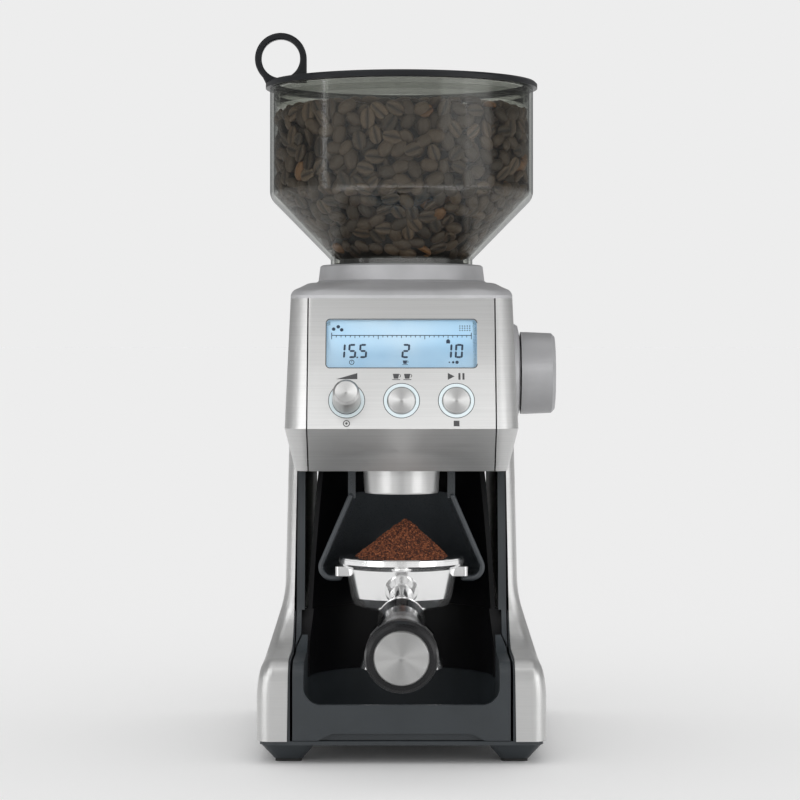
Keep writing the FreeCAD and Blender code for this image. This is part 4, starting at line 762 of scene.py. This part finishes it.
def displayFigures():
    spec = displaySet
    shapes = []
    for text, x in spec["figures"]:
        shapes += figureShapes(text, x, spec["figureLow"], spec)
    half, up = spec["scaleHalf"], spec["scaleUp"]
    shapes.append(bar(-half, half, up, up + spec["scaleThick"]))
    for i in range(spec["ticks"] + 1):
        x = -half + 2 * half * i / spec["ticks"]
        tall = 1.9 if i % 10 == 0 else 1.3 if i % 5 == 0 else 0.9
        shapes.append(bar(x - 0.18, x + 0.18, up - tall, up))
    for x in (-half, half):  # ends of the scale turn up
        shapes.append(bar(x - 0.2, x + 0.2, up, up + 1.7))
    at = spec["markerAt"]
    shapes.append([(at - 1.0, up - 4.2), (at + 1.0, up - 4.2), (at + 1.0, up - 2.6), (at, up - 1.7),
                   (at - 1.0, up - 2.6)])
    for x, y in ((-35.6, 8.6), (-33.2, 9.9), (-31.4, 8.2)):  # coarse grains
        shapes.append(disc(x, y, 0.95))
    for i in range(15):  # fine grains
        shapes.append(disc(30.6 + 1.3 * (i % 5), 7.9 + 1.2 * (i // 5), 0.34, 10))
    clockX, clockY = spec["figures"][0][1], spec["figureLow"] - 2.3
    shapes.append(arcBand(clockX, clockY, 1.2, 0.36, 0, 360))
    shapes.append(bar(clockX - 0.14, clockX + 0.14, clockY - 0.14, clockY + 0.9))
    shapes += cupShapes(spec["figures"][1][1], clockY, spec["smallCup"])
    for step in range(3):
        shapes.append(disc(spec["figures"][2][1] - 2.0 + 2.0 * step, clockY, 0.4 + 0.25 * step, 14))
    face = lensMid - panelOut * spec["lensHalf"]
    printOn("displayFigures", shapes, face, figureInk, spec["ink"], "housing")


def cupShapes(x, y, size):
    mug = [(-2.2, 1.6), (-1.6, -1.4), (1.0, -1.4), (1.6, 1.6)]
    mug = [(x + px * size, y + py * size) for px, py in mug]
    grip = arcBand(x + 1.55 * size, y + 0.35 * size, 0.85 * size, 0.4 * size, -80, 80)
    saucer = bar(x - 2.6 * size, x + 2.2 * size, y - 2.2 * size, y - 1.8 * size)
    return [mug, grip, saucer]


def panelMarks():
    buttonLow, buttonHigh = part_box("shots_button")
    buttonUp = ((buttonLow + buttonHigh) / 2 - lensMid).dot(panelUp) / mm
    pitch = (sum(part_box("start_button"), Vector()) / 2 - (buttonLow + buttonHigh) / 2).x / mm
    above, below = buttonUp + displaySet["marksUp"], buttonUp - displaySet["marksDown"]
    shapes = [[(-pitch - 5.5, above - 1.5), (-pitch + 5.5, above - 1.5), (-pitch + 5.5, above + 1.8)]]
    for x in (-2.6, 3.2):
        shapes += cupShapes(x, above, displaySet["cupSize"])
    shapes.append([(pitch - 4.4, above - 1.9), (pitch - 0.9, above), (pitch - 4.4, above + 1.9)])
    for x in (1.1, 3.2):
        shapes.append(bar(pitch + x, pitch + x + 1.1, above - 1.8, above + 1.8))
    shapes.append(arcBand(-pitch, below, 1.6, 0.5, 0, 360))
    shapes.append(disc(-pitch, below, 0.65))
    shapes.append(bar(pitch - 1.5, pitch + 1.5, below - 1.5, below + 1.5))
    haloR = (buttonHigh.x - buttonLow.x) / 2 / mm + displaySet["haloWide"]
    for x in (-pitch, 0, pitch):
        shapes.append(arcBand(x, buttonUp, haloR, displaySet["haloLine"], 0, 360, 48))
    lensHalf = (lensHigh.x - lensLow.x) / 2 / mm
    lensTall = (lensHigh.z - lensLow.z) / 2 / mm / panelUp.z
    wide = displaySet["frameWide"]
    shapes.append(frameBand(lensHalf + wide, lensTall + wide, displaySet["frameCorner"] + wide, wide))
    face = lensMid + panelOut * displaySet["panelFace"]
    printOn("panelMarks", shapes, face, panelInk, displaySet["ink"], "housing")


displayFigures()
panelMarks()
print("panel print done")


# studio: floor, light and camera

studio = {
    "pale": 0.847, "fill": 0.862, "front": 0.55, "side": 0.24, "overhead": 0.4,
    "frontFade": (0.0, 0.5), "overheadFade": (0.45, 0.8),
    "floorColour": 0.97, "floorSize": 400.0,
    "flagHalf": 0.13, "flagNear": -0.47, "flagFar": -1.0, "flagLift": 0.002, "flagTone": 0.12,
    "cameraAt": (-1.85 * mm, -1.3995, 0.2135), "lens": 117.9, "shift": (-0.0019, -0.069),
}

# each lamp's place, aim, size and glow
lampSet = {
    "keySoftbox": ((-0.9, -1.2, 1.3), (0, 0, 0.22), (1.2, 1.2), 1.0),
    "fillSoftbox": ((1.2, -1.1, 0.9), (0, 0, 0.22), (0.8, 1.0), 0.7),
    "frontCard": ((0.0, -0.165, 0.251), (0, -0.045, 0.175), (0.5, 0.05), 1.5),
    "leftLow": ((-0.36, -0.33, 0.08), (0, -0.03, 0.1), (0.25, 0.2), 1.3),
    "rightLow": ((0.36, -0.33, 0.08), (0, -0.03, 0.1), (0.25, 0.2), 1.3),
    "leftStrip": ((-1.13, -0.4, 0.33), (0, 0.04, 0.3), (0.05, 0.6), 4.0),
    "rightStrip": ((1.13, -0.39, 0.33), (0, 0.04, 0.3), (0.55, 0.6), 0.9),
    "topSoftbox": ((0.0, 0.1, 1.4), (0, 0, 0.2), (1.2, 0.8), 0.55),
}


def paleFloor(spec):
    material = bpy.data.materials.new("paleFloor")
    material.use_nodes = True
    tree = material.node_tree
    tree.nodes.clear()
    output = tree.nodes.new("ShaderNodeOutputMaterial")
    matt = tree.nodes.new("ShaderNodeBsdfDiffuse")
    matt.inputs[0].default_value = (spec["floorColour"],) * 3 + (1,)
    lift = tree.nodes.new("ShaderNodeEmission")
    lift.inputs["Strength"].default_value = spec["pale"] - spec["floorColour"] * spec["fill"]
    both = tree.nodes.new("ShaderNodeAddShader")
    mix = tree.nodes.new("ShaderNodeMixShader")
    tree.links.new(matt.outputs[0], both.inputs[0])
    tree.links.new(lift.outputs[0], both.inputs[1])
    tree.links.new(seenRays(tree, "Is Glossy Ray"), mix.inputs[0])
    tree.links.new(matt.outputs[0], mix.inputs[1])
    tree.links.new(both.outputs[0], mix.inputs[2])
    tree.links.new(mix.outputs[0], output.inputs["Surface"])
    return material


def darkFlag(spec):
    material = bpy.data.materials.new("darkFlag")
    material.use_nodes = True
    tree = material.node_tree
    tree.nodes.clear()
    output = tree.nodes.new("ShaderNodeOutputMaterial")
    tone = tree.nodes.new("ShaderNodeEmission")
    tone.inputs["Strength"].default_value = spec["flagTone"]
    tree.links.new(tone.outputs[0], output.inputs["Surface"])
    half, near, far, lift = [spec[key] for key in ("flagHalf", "flagNear", "flagFar", "flagLift")]
    data = bpy.data.meshes.new("darkFlag")
    corners = [(-half, far, lift), (half, far, lift), (half, near, lift), (-half, near, lift)]
    data.from_pydata(corners, [], [(0, 1, 2, 3)])
    data.materials.append(material)
    flag = bpy.data.objects.new("darkFlag", data)
    bpy.context.scene.collection.objects.link(flag)
    flag.visible_camera = False
    flag.visible_diffuse = False
    flag.visible_transmission = False
    flag.visible_shadow = False


def seenRays(tree, *others):
    path = tree.nodes.new("ShaderNodeLightPath")
    seen = path.outputs["Is Camera Ray"]
    for kind in ("Is Transmission Ray", *others):
        either = tree.nodes.new("ShaderNodeMath")
        either.operation = "MAXIMUM"
        tree.links.new(seen, either.inputs[0])
        tree.links.new(path.outputs[kind], either.inputs[1])
        seen = either.outputs[0]
    return seen


def studioWorld(spec):
    world = bpy.data.worlds.new("studioWorld")
    bpy.context.scene.world = world
    world.use_nodes = True
    tree = world.node_tree
    tree.nodes.clear()
    output = tree.nodes.new("ShaderNodeOutputWorld")
    fill, mirrored, seen = [tree.nodes.new("ShaderNodeBackground") for _ in range(3)]
    for node, strength in ((fill, spec["fill"]), (mirrored, spec["front"]), (seen, spec["pale"])):
        setSockets(node, Color=(1, 1, 1, 1), Strength=strength)
    place = tree.nodes.new("ShaderNodeTexCoord")
    split = tree.nodes.new("ShaderNodeSeparateXYZ")
    tree.links.new(place.outputs["Generated"], split.inputs[0])
    forward, both = [tree.nodes.new("ShaderNodeMath") for _ in range(2)]
    forward.operation = both.operation = "MULTIPLY"
    forward.inputs[1].default_value = -1.0
    tree.links.new(split.outputs["Y"], forward.inputs[0])
    front = fade(tree, forward.outputs[0], *spec["frontFade"], spec["side"], spec["front"])
    overhead = fade(tree, split.outputs["Z"], *spec["overheadFade"], 1.0, spec["overhead"])
    tree.links.new(front, both.inputs[0])
    tree.links.new(overhead, both.inputs[1])
    tree.links.new(both.outputs[0], mirrored.inputs["Strength"])
    path = tree.nodes.new("ShaderNodeLightPath")
    shine = tree.nodes.new("ShaderNodeMixShader")
    tree.links.new(path.outputs["Is Glossy Ray"], shine.inputs[0])
    tree.links.new(fill.outputs[0], shine.inputs[1])
    tree.links.new(mirrored.outputs[0], shine.inputs[2])
    mix = tree.nodes.new("ShaderNodeMixShader")
    tree.links.new(seenRays(tree), mix.inputs[0])
    tree.links.new(shine.outputs[0], mix.inputs[1])
    tree.links.new(seen.outputs[0], mix.inputs[2])
    tree.links.new(mix.outputs[0], output.inputs["Surface"])


def areaLamp(name, at, aim, size, glow):
    data = bpy.data.lights.new(name, "AREA")
    data.shape = "RECTANGLE"
    data.size, data.size_y = size
    data.energy = glow * math.pi * size[0] * size[1]
    lamp = bpy.data.objects.new(name, data)
    bpy.context.scene.collection.objects.link(lamp)
    lamp.location = at
    lamp.rotation_euler = (Vector(aim) - Vector(at)).to_track_quat("-Z", "Y").to_euler()
    lamp.visible_camera = False
    return lamp


def buildStudio(spec):
    half = spec["floorSize"] / 2
    data = bpy.data.meshes.new("studioFloor")
    corners = [(-half, -half, 0), (half, -half, 0), (half, half, 0), (-half, half, 0)]
    data.from_pydata(corners, [], [(0, 1, 2, 3)])
    floor = bpy.data.objects.new("studioFloor", data)
    bpy.context.scene.collection.objects.link(floor)
    data.materials.append(paleFloor(spec))
    darkFlag(spec)  # seen only in the polished metal
    studioWorld(spec)
    lamps = [areaLamp(name, *lamp) for name, lamp in lampSet.items()]
    unlit = bpy.data.collections.new("floorOnly")
    unlit.objects.link(floor)
    unlit.collection_objects[0].light_linking.link_state = "EXCLUDE"
    for lamp in lamps:
        lamp.light_linking.receiver_collection = unlit
    cameraData = bpy.data.cameras.new("studioCamera")
    cameraData.lens = spec["lens"]
    cameraData.sensor_width = 36.0
    cameraData.shift_x, cameraData.shift_y = spec["shift"]
    camera = bpy.data.objects.new("studioCamera", cameraData)
    bpy.context.scene.collection.objects.link(camera)
    camera.location = spec["cameraAt"]
    camera.rotation_euler = (math.pi / 2, 0, 0)
    bpy.context.scene.camera = camera
    bpy.context.scene.view_settings.view_transform = "Standard"


buildStudio(studio)
print("studio ready")
